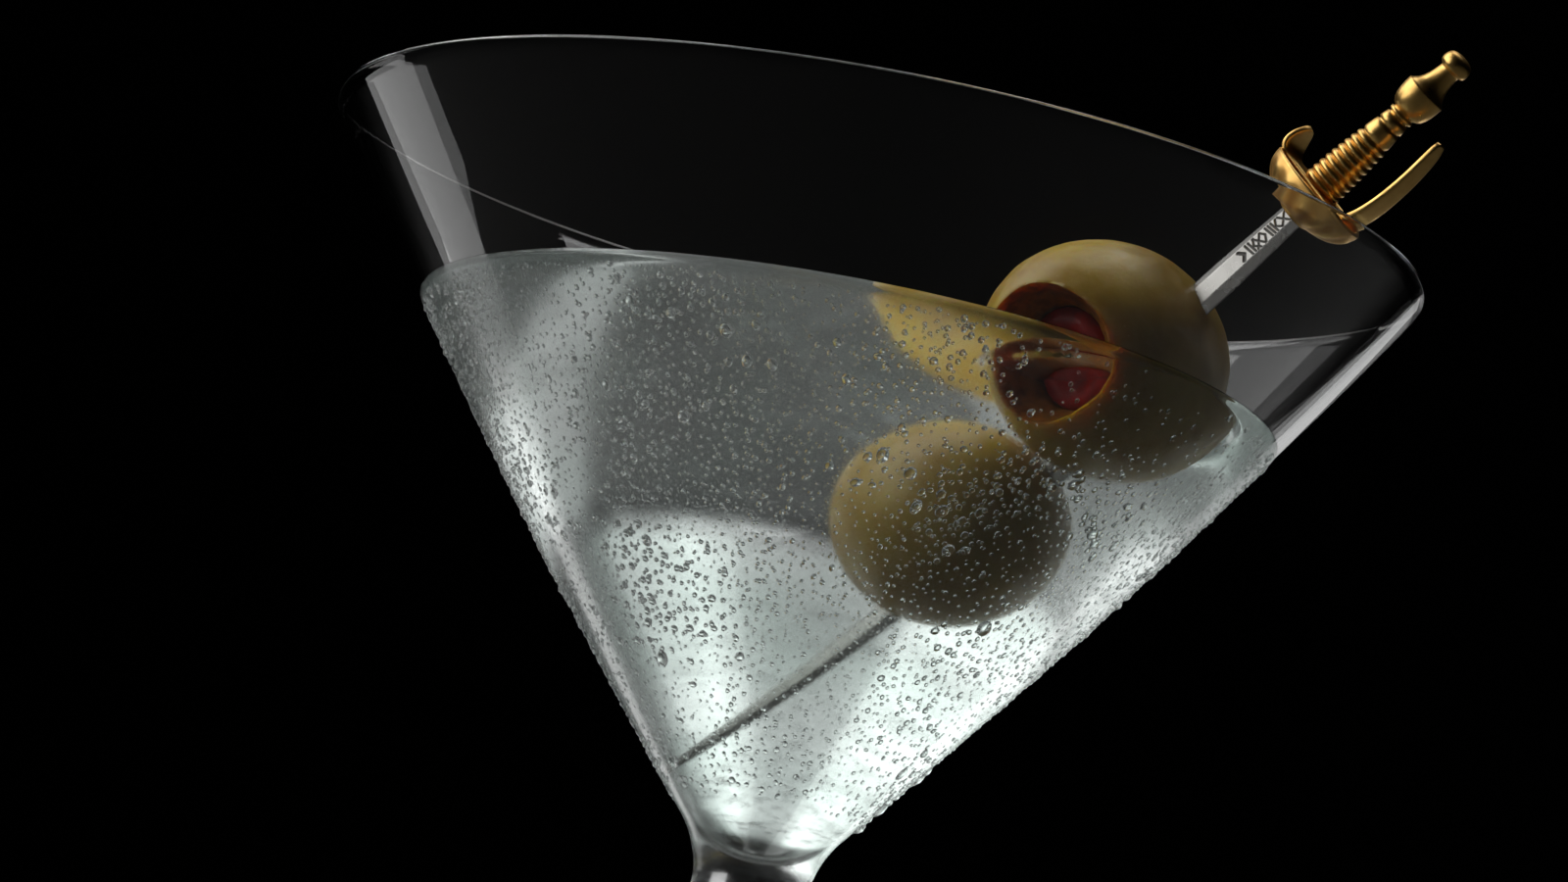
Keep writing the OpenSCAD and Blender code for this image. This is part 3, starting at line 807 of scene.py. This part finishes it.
def blade_section(flat_points, bevel_points):
    """Outline of the blade's section, widths and thicknesses from -1 to 1: two flats joined by bevels that
    meet in an edge at each side. Each point is (x, y, place across its own flat or 9 off a flat)."""
    flat = 0.46
    across = np.linspace(-flat, flat, flat_points)
    near = np.stack([across, -np.ones_like(across), across / flat], -1)
    step = np.linspace(0, 1, bevel_points + 2)[1:-1]
    off = np.full_like(step, 9.0)
    right_down = np.stack([flat + (1 - flat) * step, -(1 - step), off], -1)
    right_up = np.stack([1 - (1 - flat) * step, step, off], -1)
    far = np.stack([across[::-1], np.ones_like(across), np.full_like(across, 9.0)], -1)
    edge = np.array([[1.0, 0.0, 9.0]])
    half = np.concatenate([near, right_down, edge, right_up])
    back = np.concatenate([far, -right_down * [1, 1, -1], -edge * [1, 1, -1], -right_up * [1, 1, -1]])
    return np.concatenate([half, back])


class COCKTAIL_OT_blade(bpy.types.Operator):
    """Build the engraved blade"""

    bl_idname = "cocktail.blade"
    bl_label = "Blade"

    def execute(self, context):
        scene = context.scene
        g, p = scene.cocktail_glass, scene.cocktail_pick
        _, _, reach = pick_axes(p, g)
        section = blade_section(40, 6)
        fine = np.linspace(p.guard_seat, -7 * MM, 240)
        coarse = np.linspace(-7 * MM, -reach + 0.4 * MM, 70)[1:]
        along = np.concatenate([fine, coarse])
        knots = [-reach, -reach + 5 * MM, -reach * 0.63, -20 * MM, -8 * MM, p.guard_seat]
        widths = np.interp(along, knots, np.array([0.14, 0.36, 0.92, 1, 1, p.root_w / p.blade_w]) * p.blade_w)
        thick = np.interp(along, knots, np.array([0.25, 0.6, 1, 1, 1, 1]) * p.blade_t)
        x = widths[:, None] / 2 * section[:, 0]
        y = thick[:, None] / 2 * section[:, 1]
        on_flat = (np.abs(section[:, 2]) <= 1)[None] * np.ones_like(x)
        u = np.clip(section[:, 2], -1, 1)[None] + 0 * x
        v = (p.guard_seat - along)[:, None] / MM + 0 * x
        depth = engraving(u, v) * on_flat
        y = y + p.groove * depth
        local = np.stack([x, y, along[:, None] + 0 * x], -1)
        points = on_pick(p, g, local)
        ends = on_pick(p, g, np.array([[0, 0, p.guard_seat + 0.3 * MM], [0, 0, -reach]]))
        vertices, faces = closed_skin(points, *ends)
        marks = {"groove": np.concatenate([[0], depth.ravel(), [0]])}
        make_piece("sword_blade", vertices, faces, brushed_steel(p), ["blade"], marks)
        return {"FINISHED"}


# ---------------------------------------------------------------- the hilt

def gilding(h):
    """Polished gilding: warm gold with fine handling marks, duller in its hollows, where painted shade also
    makes it redder and darker.
    """
    material, tree, shader = blank_material("gilding")
    where = place(tree)
    hollow = node(tree, "Attribute", attribute_name="hollow").outputs["Fac"]
    tarnish = noise(tree, where, 1.8 * MM, 4.0, 0.6)
    base = blend_colour(tree, ramp(tree, tarnish, 0.35, 0.8, 0.0, 0.35), h.gilt, (0.72, 0.36, 0.07))
    # painted shade: where the attribute hollow is high the gold is blended towards a dark red gold
    base = blend_colour(tree, ramp(tree, hollow, 0.0, 1.0, 0.0, 0.75), base, (0.42, 0.16, 0.02))
    dull = maths(tree, "MULTIPLY", hollow, 0.16)
    rough = maths(tree, "ADD", ramp(tree, tarnish, 0.3, 0.7, 0.27, 0.38), dull)
    scratches = noise(tree, where, 0.25 * MM, 2.0)
    relief = node(tree, "Bump", {"Strength": 0.12, "Distance": 0.02 * MM, "Height": scratches})
    put(tree, shader, {"Base Color": base, "Metallic": 1.0, "Roughness": rough, "Normal": relief.outputs[0]})
    return material


def joined(shells):
    """Several closed skins, each (vertices, faces, marks), as one set of arrays with every skin turned
    outwards."""
    vertices, faces, marks, base = [], [], [], 0
    for points, blocks, mark in shells:
        if volume(points, blocks) < 0:
            blocks = [block[:, ::-1] for block in blocks]
        vertices.append(points)
        faces += [block + base for block in blocks]
        marks.append(mark)
        base += len(points)
    return np.concatenate(vertices), faces, np.concatenate(marks)


def dish_shell(p, h):
    """The oval dish: an ellipsoid's lower half from its middle out to the rim, rolled over and back down its
    inside. Its underside is pressed in flutes that fan out from a plain middle."""
    sides = 180
    around = np.arange(sides) * TAU / sides
    rise = np.linspace(0, math.pi / 2, 34)[1:]
    band = smoothstep(0.45, 0.8, rise) * smoothstep(1.5, 1.25, rise)
    flutes = np.cos(14 * around)[None] * band[:, None]
    half = np.array([h.dish_len / 2, h.dish_wid / 2])
    outer = np.sin(rise)[:, None] * (1 - h.emboss / half[1] * (0.5 + 0.5 * flutes))
    outer_z = -h.dish_depth * np.cos(rise)[:, None] + 0 * around
    roll = np.linspace(0, math.pi, 8)[1:-1, None]
    edge = h.plate_t / 2
    inner_rise = rise[::-1]
    rings = []
    for k, r in enumerate(half):
        trig = np.cos(around) if k == 0 else np.sin(around)
        rolled = (r - edge + edge * np.cos(roll)) * trig
        inner = (r - h.plate_t) * np.sin(inner_rise)[:, None] * trig
        rings.append(np.concatenate([r * outer * trig, rolled, inner]))
    rolled_z = edge * np.sin(roll) + 0 * around
    inner_z = -(h.dish_depth - h.plate_t) * np.cos(inner_rise)[:, None] + 0 * around
    z = np.concatenate([outer_z, rolled_z, inner_z]) + p.guard_seat + h.dish_depth
    points = np.stack([*rings, z], -1)
    # hollow is painted shade: over the dish's underside it is deepest in the flutes' grooves and none on
    # their ridges, a little less over the inside, none on the rolled rim
    hollow = np.concatenate([0.8 * (0.5 + 0.5 * flutes), 0 * rolled_z, 0.35 + 0 * inner_z])
    low = np.array([0, 0, p.guard_seat])
    high = np.array([0, 0, p.guard_seat + h.plate_t])
    vertices, faces = closed_skin(points, low, high)
    return vertices, faces, np.concatenate([[0], hollow.ravel(), [0.35]])


def strap_shell(p, h):
    """The strap: a rounded band carried down the curled lobe, across the dish and up the knuckle bow. Its
    half width swells to a round lobe at one end and narrows to a round tip at the other."""
    rim_z = p.guard_seat + h.dish_depth
    flat_z = rim_z + h.plate_t / 2 - 0.15 * MM
    side = h.dish_len / 2 - 0.25 * MM
    lobe = bezier([(-side + 1.2 * MM, flat_z), (-side - 0.1 * MM, flat_z + 0.1 * MM),
                   (-side - 0.5 * MM, flat_z + 1.2 * MM), (-side - 0.15 * MM, rim_z + h.lobe_h)], 40)[::-1]
    bow = bezier([(side - 1.3 * MM, flat_z), (side + 0.5 * MM, flat_z + 0.4 * MM),
                  (side + 0.9 * MM, flat_z + h.bow_h * 0.6), (side - 0.1 * MM, rim_z + h.bow_h)], 70)
    flat = np.linspace(lobe[-1], bow[0], 20)[1:-1]
    line = np.concatenate([lobe, flat, bow])
    heading = np.gradient(line, axis=0)
    heading /= np.linalg.norm(heading, axis=1)[:, None]
    square = np.stack([-heading[:, 1], heading[:, 0]], -1)
    k = np.linspace(0, 1, 40)
    lobe_w = np.sqrt(np.clip(1 - (1 - k * 0.97) ** 4, 0, 1)) * (1 + 0.18 * np.sin(math.pi * (1 - k)))
    t = np.linspace(0, 1, 70)
    bow_w = (1 - 0.4 * t) * np.sqrt(np.clip(1 - (t * 0.985) ** 14, 0, 1))
    half_w = h.strap_w / 2 * np.concatenate([lobe_w, np.ones(18), bow_w])
    turn = np.arange(24) * TAU / 24
    box = np.stack([np.cos(turn), np.sin(turn)], -1)
    box = np.sign(box) * np.abs(box) ** 0.42
    thick = h.plate_t / 2 * box[:, 1]
    x = line[:, 0, None] + square[:, 0, None] * thick
    z = line[:, 1, None] + square[:, 1, None] * thick
    y = half_w[:, None] * box[:, 0]
    points = np.stack([x, y, z], -1)
    ends = [np.array([line[i, 0], 0, line[i, 1]]) for i in (0, -1)]
    vertices, faces = closed_skin(points, *ends)
    return vertices, faces, np.zeros(len(vertices))


class COCKTAIL_OT_guard(bpy.types.Operator):
    """Build the gilt guard with its dish, lobe and knuckle bow"""

    bl_idname = "cocktail.guard"
    bl_label = "Guard"

    def execute(self, context):
        scene = context.scene
        g, p, h = scene.cocktail_glass, scene.cocktail_pick, scene.cocktail_hilt
        post = arc((0, 0), p.root_w / 2 + 0.3 * MM, 0, TAU, 49)[:-1]
        levels = np.array([0, 0.12, 1, h.dish_depth / MM]) * MM + p.guard_seat - 0.05 * MM
        grow = np.array([0.86, 1, 1, 1])
        rings = np.stack([np.column_stack([post * s, np.full(len(post), z)]) for s, z in zip(grow, levels)])
        vertices, faces = closed_skin(rings, (0, 0, levels[0]), (0, 0, levels[-1]))
        # the post under the dish takes a little painted shade through its hollow value of 0.2
        shells = [dish_shell(p, h), strap_shell(p, h), (vertices, faces, np.full(len(vertices), 0.2))]
        vertices, faces, hollow = joined(shells)
        make_piece("gilt_guard", on_pick(p, g, vertices), faces, gilding(h), ["guard"],
                   {"hollow": hollow})
        return {"FINISHED"}


def grip_outline(p, h):
    """Radius and height up the handle: round ribs on a tapering grip, two smooth bands with a step between
    them, a collar, the bulb to its sharp ridge, the hollow neck and the button."""
    base = p.guard_seat + h.dish_depth + h.plate_t - 0.15 * MM
    span = 0.66
    count = h.ribs * 16
    k = np.linspace(0, 1, count)
    taper = 1 - 0.06 * k * span - 0.38 * (k * span) ** 2
    rib = np.abs(np.sin(k * h.ribs * math.pi)) ** 0.7
    ribbed = np.stack([h.grip_d / 2 * taper - 0.2 * MM + 0.3 * MM * rib, base + k * span * h.grip_len], -1)
    shares = [(0.672, -0.12), (0.69, 0.02), (0.72, 0.05), (0.8, 0.05), (0.83, 0.03), (0.84, -0.14),
              (0.852, -0.14), (0.86, 0.06), (0.9, 0.07), (0.95, 0.06), (0.955, -0.1), (0.97, -0.1)]
    bands = [(h.grip_d / 2 * (1 - 0.06 * s - 0.38 * s * s) + d * MM, base + s * h.grip_len)
             for s, d in shares]
    top = base + h.grip_len
    bulb = [(0.56, -0.035), (0.62, -0.02), (0.62, 0.012), (0.53, 0.02), (0.54, 0.035), (0.69, 0.06),
            (0.82, 0.1), (0.91, 0.16), (0.965, 0.23), (0.99, 0.31), (1.0, 0.385), (0.995, 0.395),
            (0.88, 0.42), (0.76, 0.46), (0.65, 0.52), (0.57, 0.59), (0.52, 0.66), (0.49, 0.73),
            (0.485, 0.765), (0.5, 0.775),
            (0.58, 0.785), (0.66, 0.805), (0.69, 0.835), (0.695, 0.87), (0.68, 0.905), (0.63, 0.94),
            (0.54, 0.967), (0.42, 0.985), (0.25, 0.996)]
    knob = [(r * h.pommel_d / 2, top + z * h.pommel_len) for r, z in bulb]
    outline = np.concatenate([ribbed, bands, knob])
    # hollow is painted shade: full in the grooves between the ribs, none on their crests, the bands or the
    # pommel
    hollow = np.concatenate([1 - smoothstep(0.0, 0.6, rib), np.zeros(len(bands) + len(knob))])
    return outline, hollow, base, top + h.pommel_len


class COCKTAIL_OT_handle(bpy.types.Operator):
    """Build the ribbed handle and its pommel"""

    bl_idname = "cocktail.handle"
    bl_label = "Handle"

    def execute(self, context):
        scene = context.scene
        g, p, h = scene.cocktail_glass, scene.cocktail_pick, scene.cocktail_hilt
        outline, hollow, base, top = grip_outline(p, h)
        sides = 96
        vertices, faces = closed_skin(turned(outline, sides), (0, 0, base), (0, 0, top))
        # the attribute hollow carries the painted shade between the ribs to the gilding
        marks = {"hollow": np.concatenate([[0], np.repeat(hollow, sides), [0]])}
        make_piece("gilt_handle", on_pick(p, g, vertices), faces, gilding(h), ["handle"], marks)
        return {"FINISHED"}


# ---------------------------------------------------------------- the dew

def bead_form(sides, levels):
    """A unit bead, one wide and one high: points and faces of a dome whose profile is a quarter ellipse that
    leans in at its foot, closed by a flat base."""
    rise = np.linspace(-0.12, 1, levels + 1)[:-1]
    radius = 0.5 * np.sqrt(np.clip(1 - rise ** 2, 0, 1))
    radius[0] = 0.47
    rings = turned(np.stack([radius, rise], -1), sides)
    vertices, faces = closed_skin(rings, (0, 0, rise[0]), (0, 0, 1))
    return vertices, faces


def scatter(g, pitch, seed, keep):
    """Places on the cold outer wall about pitch apart: height and angle on a jittered grid whose rows are
    pitch apart up the wall, thinned where keep, a function of the points, is below a draw."""
    draw = np.random.default_rng(seed)
    low, high = RIM_Z - g.neck_depth + 1 * MM, LEVEL_Z - 0.9 * MM
    slope = math.atan2(outer_r(g, high) - outer_r(g, low), high - low)
    rows = int((high - low) / math.cos(slope) / pitch)
    levels = low + (high - low) * (np.arange(rows) + 0.5) / rows
    counts = np.maximum((TAU * outer_r(g, levels) / pitch).astype(int), 1)
    row = np.repeat(np.arange(rows), counts)
    column = np.arange(counts.sum()) - np.repeat(np.cumsum(counts) - counts, counts)
    shift = draw.uniform(0, 1, rows)[row]
    turn = (column + shift + draw.uniform(-0.42, 0.42, len(row))) / counts[row] * TAU
    z = levels[row] + draw.uniform(-0.42, 0.42, len(row)) * pitch * math.cos(slope)
    radius = outer_r(g, z)
    points = np.stack([radius * np.cos(turn), radius * np.sin(turn), z], -1)
    kept = draw.uniform(0, 1, len(row)) < keep(points)
    return points[kept], turn[kept], draw


def beads(g, d, width, form, points, turn, draw, stretch):
    """Every bead as a scaled copy of the unit form, standing on the wall along its outward normal. Widths
    follow a skewed spread about width, and stretch lengthens some down the wall."""
    vertices, faces = form
    count = len(points)
    size = width * np.exp(draw.normal(0, 0.24, count)) * (1 + 0.3 * waves(points, 13 * MM, 31))
    step = 0.1 * MM
    slope = np.arctan2(outer_r(g, points[:, 2] + step) - outer_r(g, points[:, 2] - step), 2 * step)
    flat = np.stack([np.cos(turn), np.sin(turn), 0 * turn], -1)
    up = np.array([0, 0, 1.0])
    normal = np.cos(slope)[:, None] * flat - np.sin(slope)[:, None] * up
    rise = np.sin(slope)[:, None] * flat + np.cos(slope)[:, None] * up
    side = np.cross(rise, normal)
    long = 1 + stretch * draw.uniform(0, 1, count) ** 2
    spin = draw.uniform(0, TAU, count)
    x = vertices[None, :, 0] * np.cos(spin)[:, None] - vertices[None, :, 1] * np.sin(spin)[:, None]
    y = vertices[None, :, 0] * np.sin(spin)[:, None] + vertices[None, :, 1] * np.cos(spin)[:, None]
    lump = 1 + 0.09 * np.sin(2 * np.arctan2(y, x) + spin[:, None] * 3)
    tall = d.height * draw.uniform(0.8, 1.15, count)
    placed = (points[:, None] + (x * lump * size[:, None])[..., None] * side[:, None]
              + (y * lump * (size * long)[:, None])[..., None] * rise[:, None]
              + ((vertices[None, :, 2] * (size * tall)[:, None]) - d.sink * 0.4)[..., None] * normal[:, None])
    offset = (np.arange(count) * len(vertices))[:, None, None]
    blocks = [(block[None] + offset).reshape(-1, block.shape[1]) for block in faces]
    return placed.reshape(-1, 3), blocks


def dew_water():
    """Clear water of the beads, softer in some patches than in others."""
    material, tree, shader = blank_material("dew_water")
    soft = ramp(tree, noise(tree, place(tree), 5 * MM, 0.0), 0.35, 0.65, 0.1, 0.18)
    put(tree, shader, {"Base Color": (0.985, 1.0, 0.995, 1), "Roughness": soft, "IOR": 1.33,
                       "Transmission Weight": 1.0})
    let_light_through(tree, shader, (1.0, 1.0, 1.0))
    return material


class COCKTAIL_OT_dew(bpy.types.Operator):
    """Scatter beads of dew over the cold wall"""

    bl_idname = "cocktail.dew"
    bl_label = "Dew"

    def execute(self, context):
        g, d, f = (context.scene.cocktail_glass, context.scene.cocktail_dew, context.scene.cocktail_frost)
        neck_z = RIM_Z - g.neck_depth
        water = dew_water()

        def cold(points):
            return smoothstep(neck_z, neck_z + f.fade, points[:, 2]) * (1 - 0.8 * bare_spot(f, points))

        def patches(points):
            return cold(points) * smoothstep(-0.75, 0.75, waves(points, 21 * MM, 41) + 0.35)

        def few(points):
            return cold(points) * 0.75 * smoothstep(0.1, 1.1, waves(points, 18 * MM, 53))

        kinds = [("dew_fine", d.fine_d, 1.04, (6, 2), cold, 0.15),
                 ("dew_small", d.small_d, 1.2, (7, 3), patches, 0.3),
                 ("dew_large", d.large_d, 2.1, (12, 4), few, 0.5)]
        for i, (name, width, spacing, form, keep, stretch) in enumerate(kinds):
            points, turn, draw = scatter(g, spacing * MM, d.seed + i, keep)
            vertices, faces = beads(g, d, width, bead_form(*form), points, turn, draw, stretch)
            make_piece(name, vertices, faces, water)
        return {"FINISHED"}


# ---------------------------------------------------------------- the stage

def plain_matt(name, tone):
    """A plain matt finish with the faintest mottle."""
    material, tree, shader = blank_material(name)
    mottle = noise(tree, place(tree), 0.6, 2.0)
    base = blend_colour(tree, ramp(tree, mottle, 0.3, 0.7), tone, [c * 0.94 for c in tone])
    put(tree, shader, {"Base Color": base, "Roughness": 0.9})
    return material


def softbox(name, azimuth, reach, height, wide, high, radiance, target_z, lit):
    """A soft rectangular lamp, itself unseen, that faces a height on the glass's axis. Its azimuth in degrees
    is counted from straight behind the glass towards the right, and reach is its distance from the axis. Its
    power is its radiance times pi times its area. The collection lit says which objects take its light."""
    lamp = bpy.data.lights.new(name, "AREA")
    lamp.shape = "RECTANGLE"
    lamp.size, lamp.size_y = wide, high
    lamp.energy = radiance * math.pi * wide * high
    box = bpy.data.objects.new(name, lamp)
    turn = math.radians(azimuth)
    where = Vector((reach * math.sin(turn), reach * math.cos(turn), height))
    box.location = where
    box.rotation_euler = (where - Vector((0, 0, target_z))).to_track_quat("Z", "Y").to_euler()
    box.visible_camera = False
    box.light_linking.receiver_collection = lit
    bpy.context.scene.collection.objects.link(box)


def only(objects, name, state):
    """A collection for light linking whose objects are all included or all left out."""
    group = bpy.data.collections.new(name)
    for thing in objects:
        group.objects.link(thing)
    for member in group.collection_objects:
        member.light_linking.link_state = state
    return group


# Name, azimuth, reach, height, the lamp's own width and height, radiance and the height that it faces.
SOFTBOXES = [
    ("rear_left_near", 324, 0.36, 0.03, 0.114, 0.06, 1.7, 0.03),
    ("rear_left_mid", 342, 0.36, 0.03, 0.114, 0.06, 1.3, 0.03),
    ("rear_left_far", 306, 0.36, 0.065, 0.114, 0.13, 0.75, 0.065),
    ("rear_right", 32, 0.36, 0.03, 0.114, 0.06, 1.5, 0.03),
    ("rear_right_mid", 24, 0.36, 0.13, 0.09, 0.14, 0.5, 0.13),
    ("overhead", 0, 0.13, 0.72, 0.36, 0.22, 0.8, 0.15),
    ("high_right", 35, 0.225, 0.706, 0.3, 0.2, 1.5, 0.15),
    ("key", 281, 0.386, 0.61, 0.46, 0.5, 1.8, 0.15),
    ("high_left", 318, 0.446, 0.551, 0.34, 0.24, 0.45, 0.15),
    ("side_left", 250, 0.6, 0.42, 0.46, 0.46, 1.7, 0.17),
]


FLOOR_TOP = -0.2 * MM
FLOOR_BASE = -20 * MM
STAGE_SIDES = 96


class COCKTAIL_OT_stage(bpy.types.Operator):
    """Set out the floor, the backdrop, the lights and the camera"""

    bl_idname = "cocktail.stage"
    bl_label = "Stage"

    def execute(self, context):
        scene = context.scene
        s = scene.cocktail_stage
        around = np.linspace(0, s.floor_r, 24)[1:]
        rings = turned(np.stack([around, np.full_like(around, FLOOR_TOP)], -1), STAGE_SIDES)
        under = turned(np.array([[s.floor_r, FLOOR_BASE]]), STAGE_SIDES)
        vertices, faces = closed_skin(np.concatenate([rings, under]), (0, 0, FLOOR_TOP), (0, 0, FLOOR_BASE))
        floor = stage_piece("floor", vertices, faces, plain_matt("pale_floor", s.floor))
        climb_up = np.linspace(0, math.pi / 2, 40)[:-1]
        shell = np.stack([s.backdrop_r * np.cos(climb_up), s.backdrop_r * np.sin(climb_up) - 0.01], -1)
        rings = turned(shell, STAGE_SIDES)
        rim = turned(np.array([[s.backdrop_r * 1.01, -0.01]]), STAGE_SIDES)
        outer = turned(shell[1:] * 1.01, STAGE_SIDES)
        vertices, faces = closed_skin(np.concatenate([rings[::-1], rim, outer]), (0, 0, s.backdrop_r - 0.01),
                                      (0, 0, s.backdrop_r * 1.01))
        backdrop = stage_piece("backdrop", vertices, faces, plain_matt("dark_backdrop", s.backdrop))
        no_floor = only([floor], "all_but_the_floor", "EXCLUDE")
        for box in SOFTBOXES:
            softbox(*box, no_floor)
        the_floor = only([floor], "the_floor", "INCLUDE")
        softbox("floor_fill", 0, 0.001, 1.5, 1.2, 1.2, s.floor_fill, 0, the_floor)
        softbox("floor_behind", 4, 0.62, 0.6, 0.4, 0.4, s.floor_behind, 0, the_floor)
        world = bpy.data.worlds.new("studio")
        world.use_nodes = True
        world.node_tree.nodes["Background"].inputs["Color"].default_value = (0, 0, 0, 1)
        scene.world = world
        scene.camera = make_camera(s)
        scene.cycles.max_bounces = 20
        scene.cycles.transmission_bounces = 20
        scene.cycles.glossy_bounces = 10
        scene.cycles.diffuse_bounces = 3
        scene.cycles.transparent_max_bounces = 14
        scene.cycles.use_light_tree = False
        scene.cycles.sample_clamp_indirect = 6.0
        scene.view_settings.view_transform = "Standard"
        return {"FINISHED"}


def stage_piece(name, vertices, faces, material):
    """A mesh of the stage from whole arrays."""
    if volume(vertices, faces) < 0:
        faces = [block[:, ::-1] for block in faces]
    mesh = bpy.data.meshes.new(name)
    mesh.from_pydata(vertices.tolist(), [], [f for block in faces for f in block.tolist()])
    mesh.shade_smooth()
    mesh.materials.append(material)
    piece = bpy.data.objects.new(name, mesh)
    bpy.context.scene.collection.objects.link(piece)
    return piece


def make_camera(s):
    """A camera below the rim that looks up into the bowl, rolled so that the glass leans to the right."""
    level_ahead = np.array([math.sin(s.yaw), math.cos(s.yaw), 0])
    ahead = level_ahead * math.cos(s.pitch) + np.array([0, 0, math.sin(s.pitch)])
    right = np.array([math.cos(s.yaw), -math.sin(s.yaw), 0])
    up = np.cross(right, ahead)
    rolled_right = math.cos(s.roll) * right + math.sin(s.roll) * up
    rolled_up = math.cos(s.roll) * up - math.sin(s.roll) * right
    data = bpy.data.cameras.new("camera")
    data.lens = s.lens
    data.sensor_width = 36
    data.clip_start, data.clip_end = 0.01, 20
    camera = bpy.data.objects.new("camera", data)
    turn = Matrix(np.stack([rolled_right, rolled_up, -ahead], axis=1).tolist())
    camera.matrix_world = Matrix.Translation((0, -s.camera_back, RIM_Z - s.camera_drop)) @ turn.to_4x4()
    bpy.context.scene.collection.objects.link(camera)
    return camera


# ---------------------------------------------------------------- the add-on

STEPS = ["stage", "glass", "drink", "olives", "pimento", "blade", "guard", "handle", "dew"]


class COCKTAIL_PT_panel(bpy.types.Panel):
    """Lists every piece of the cocktail"""

    bl_idname = "COCKTAIL_PT_panel"
    bl_label = "Cocktail"
    bl_space_type = "VIEW_3D"
    bl_region_type = "UI"
    bl_category = "Cocktail"

    def draw(self, context):
        for name in SETTINGS:
            group = getattr(context.scene, name)
            box = self.layout.box()
            for prop in group.bl_rna.properties:
                if prop.identifier not in ("rna_type", "name"):
                    box.prop(group, prop.identifier)
        for step in STEPS:
            self.layout.operator("cocktail." + step)


SETTINGS = {
    "cocktail_glass": GlassSettings, "cocktail_frost": FrostSettings, "cocktail_drink": DrinkSettings,
    "cocktail_dew": DewSettings, "cocktail_olives": OliveSettings, "cocktail_pick": PickSettings,
    "cocktail_hilt": HiltSettings, "cocktail_stage": StageSettings,
}
CLASSES = [*SETTINGS.values(), COCKTAIL_OT_stage, COCKTAIL_OT_glass, COCKTAIL_OT_drink, COCKTAIL_OT_olives,
           COCKTAIL_OT_pimento, COCKTAIL_OT_blade, COCKTAIL_OT_guard, COCKTAIL_OT_handle, COCKTAIL_OT_dew,
           COCKTAIL_PT_panel]


def register():
    for cls in CLASSES:
        bpy.utils.register_class(cls)
    for name, group in SETTINGS.items():
        setattr(bpy.types.Scene, name, PointerProperty(type=group))


def unregister():
    for name in SETTINGS:
        delattr(bpy.types.Scene, name)
    for cls in reversed(CLASSES):
        bpy.utils.unregister_class(cls)


def main():
    register()
    for step in STEPS:
        getattr(bpy.ops.cocktail, step)()


if __name__ == "__main__":
    main()
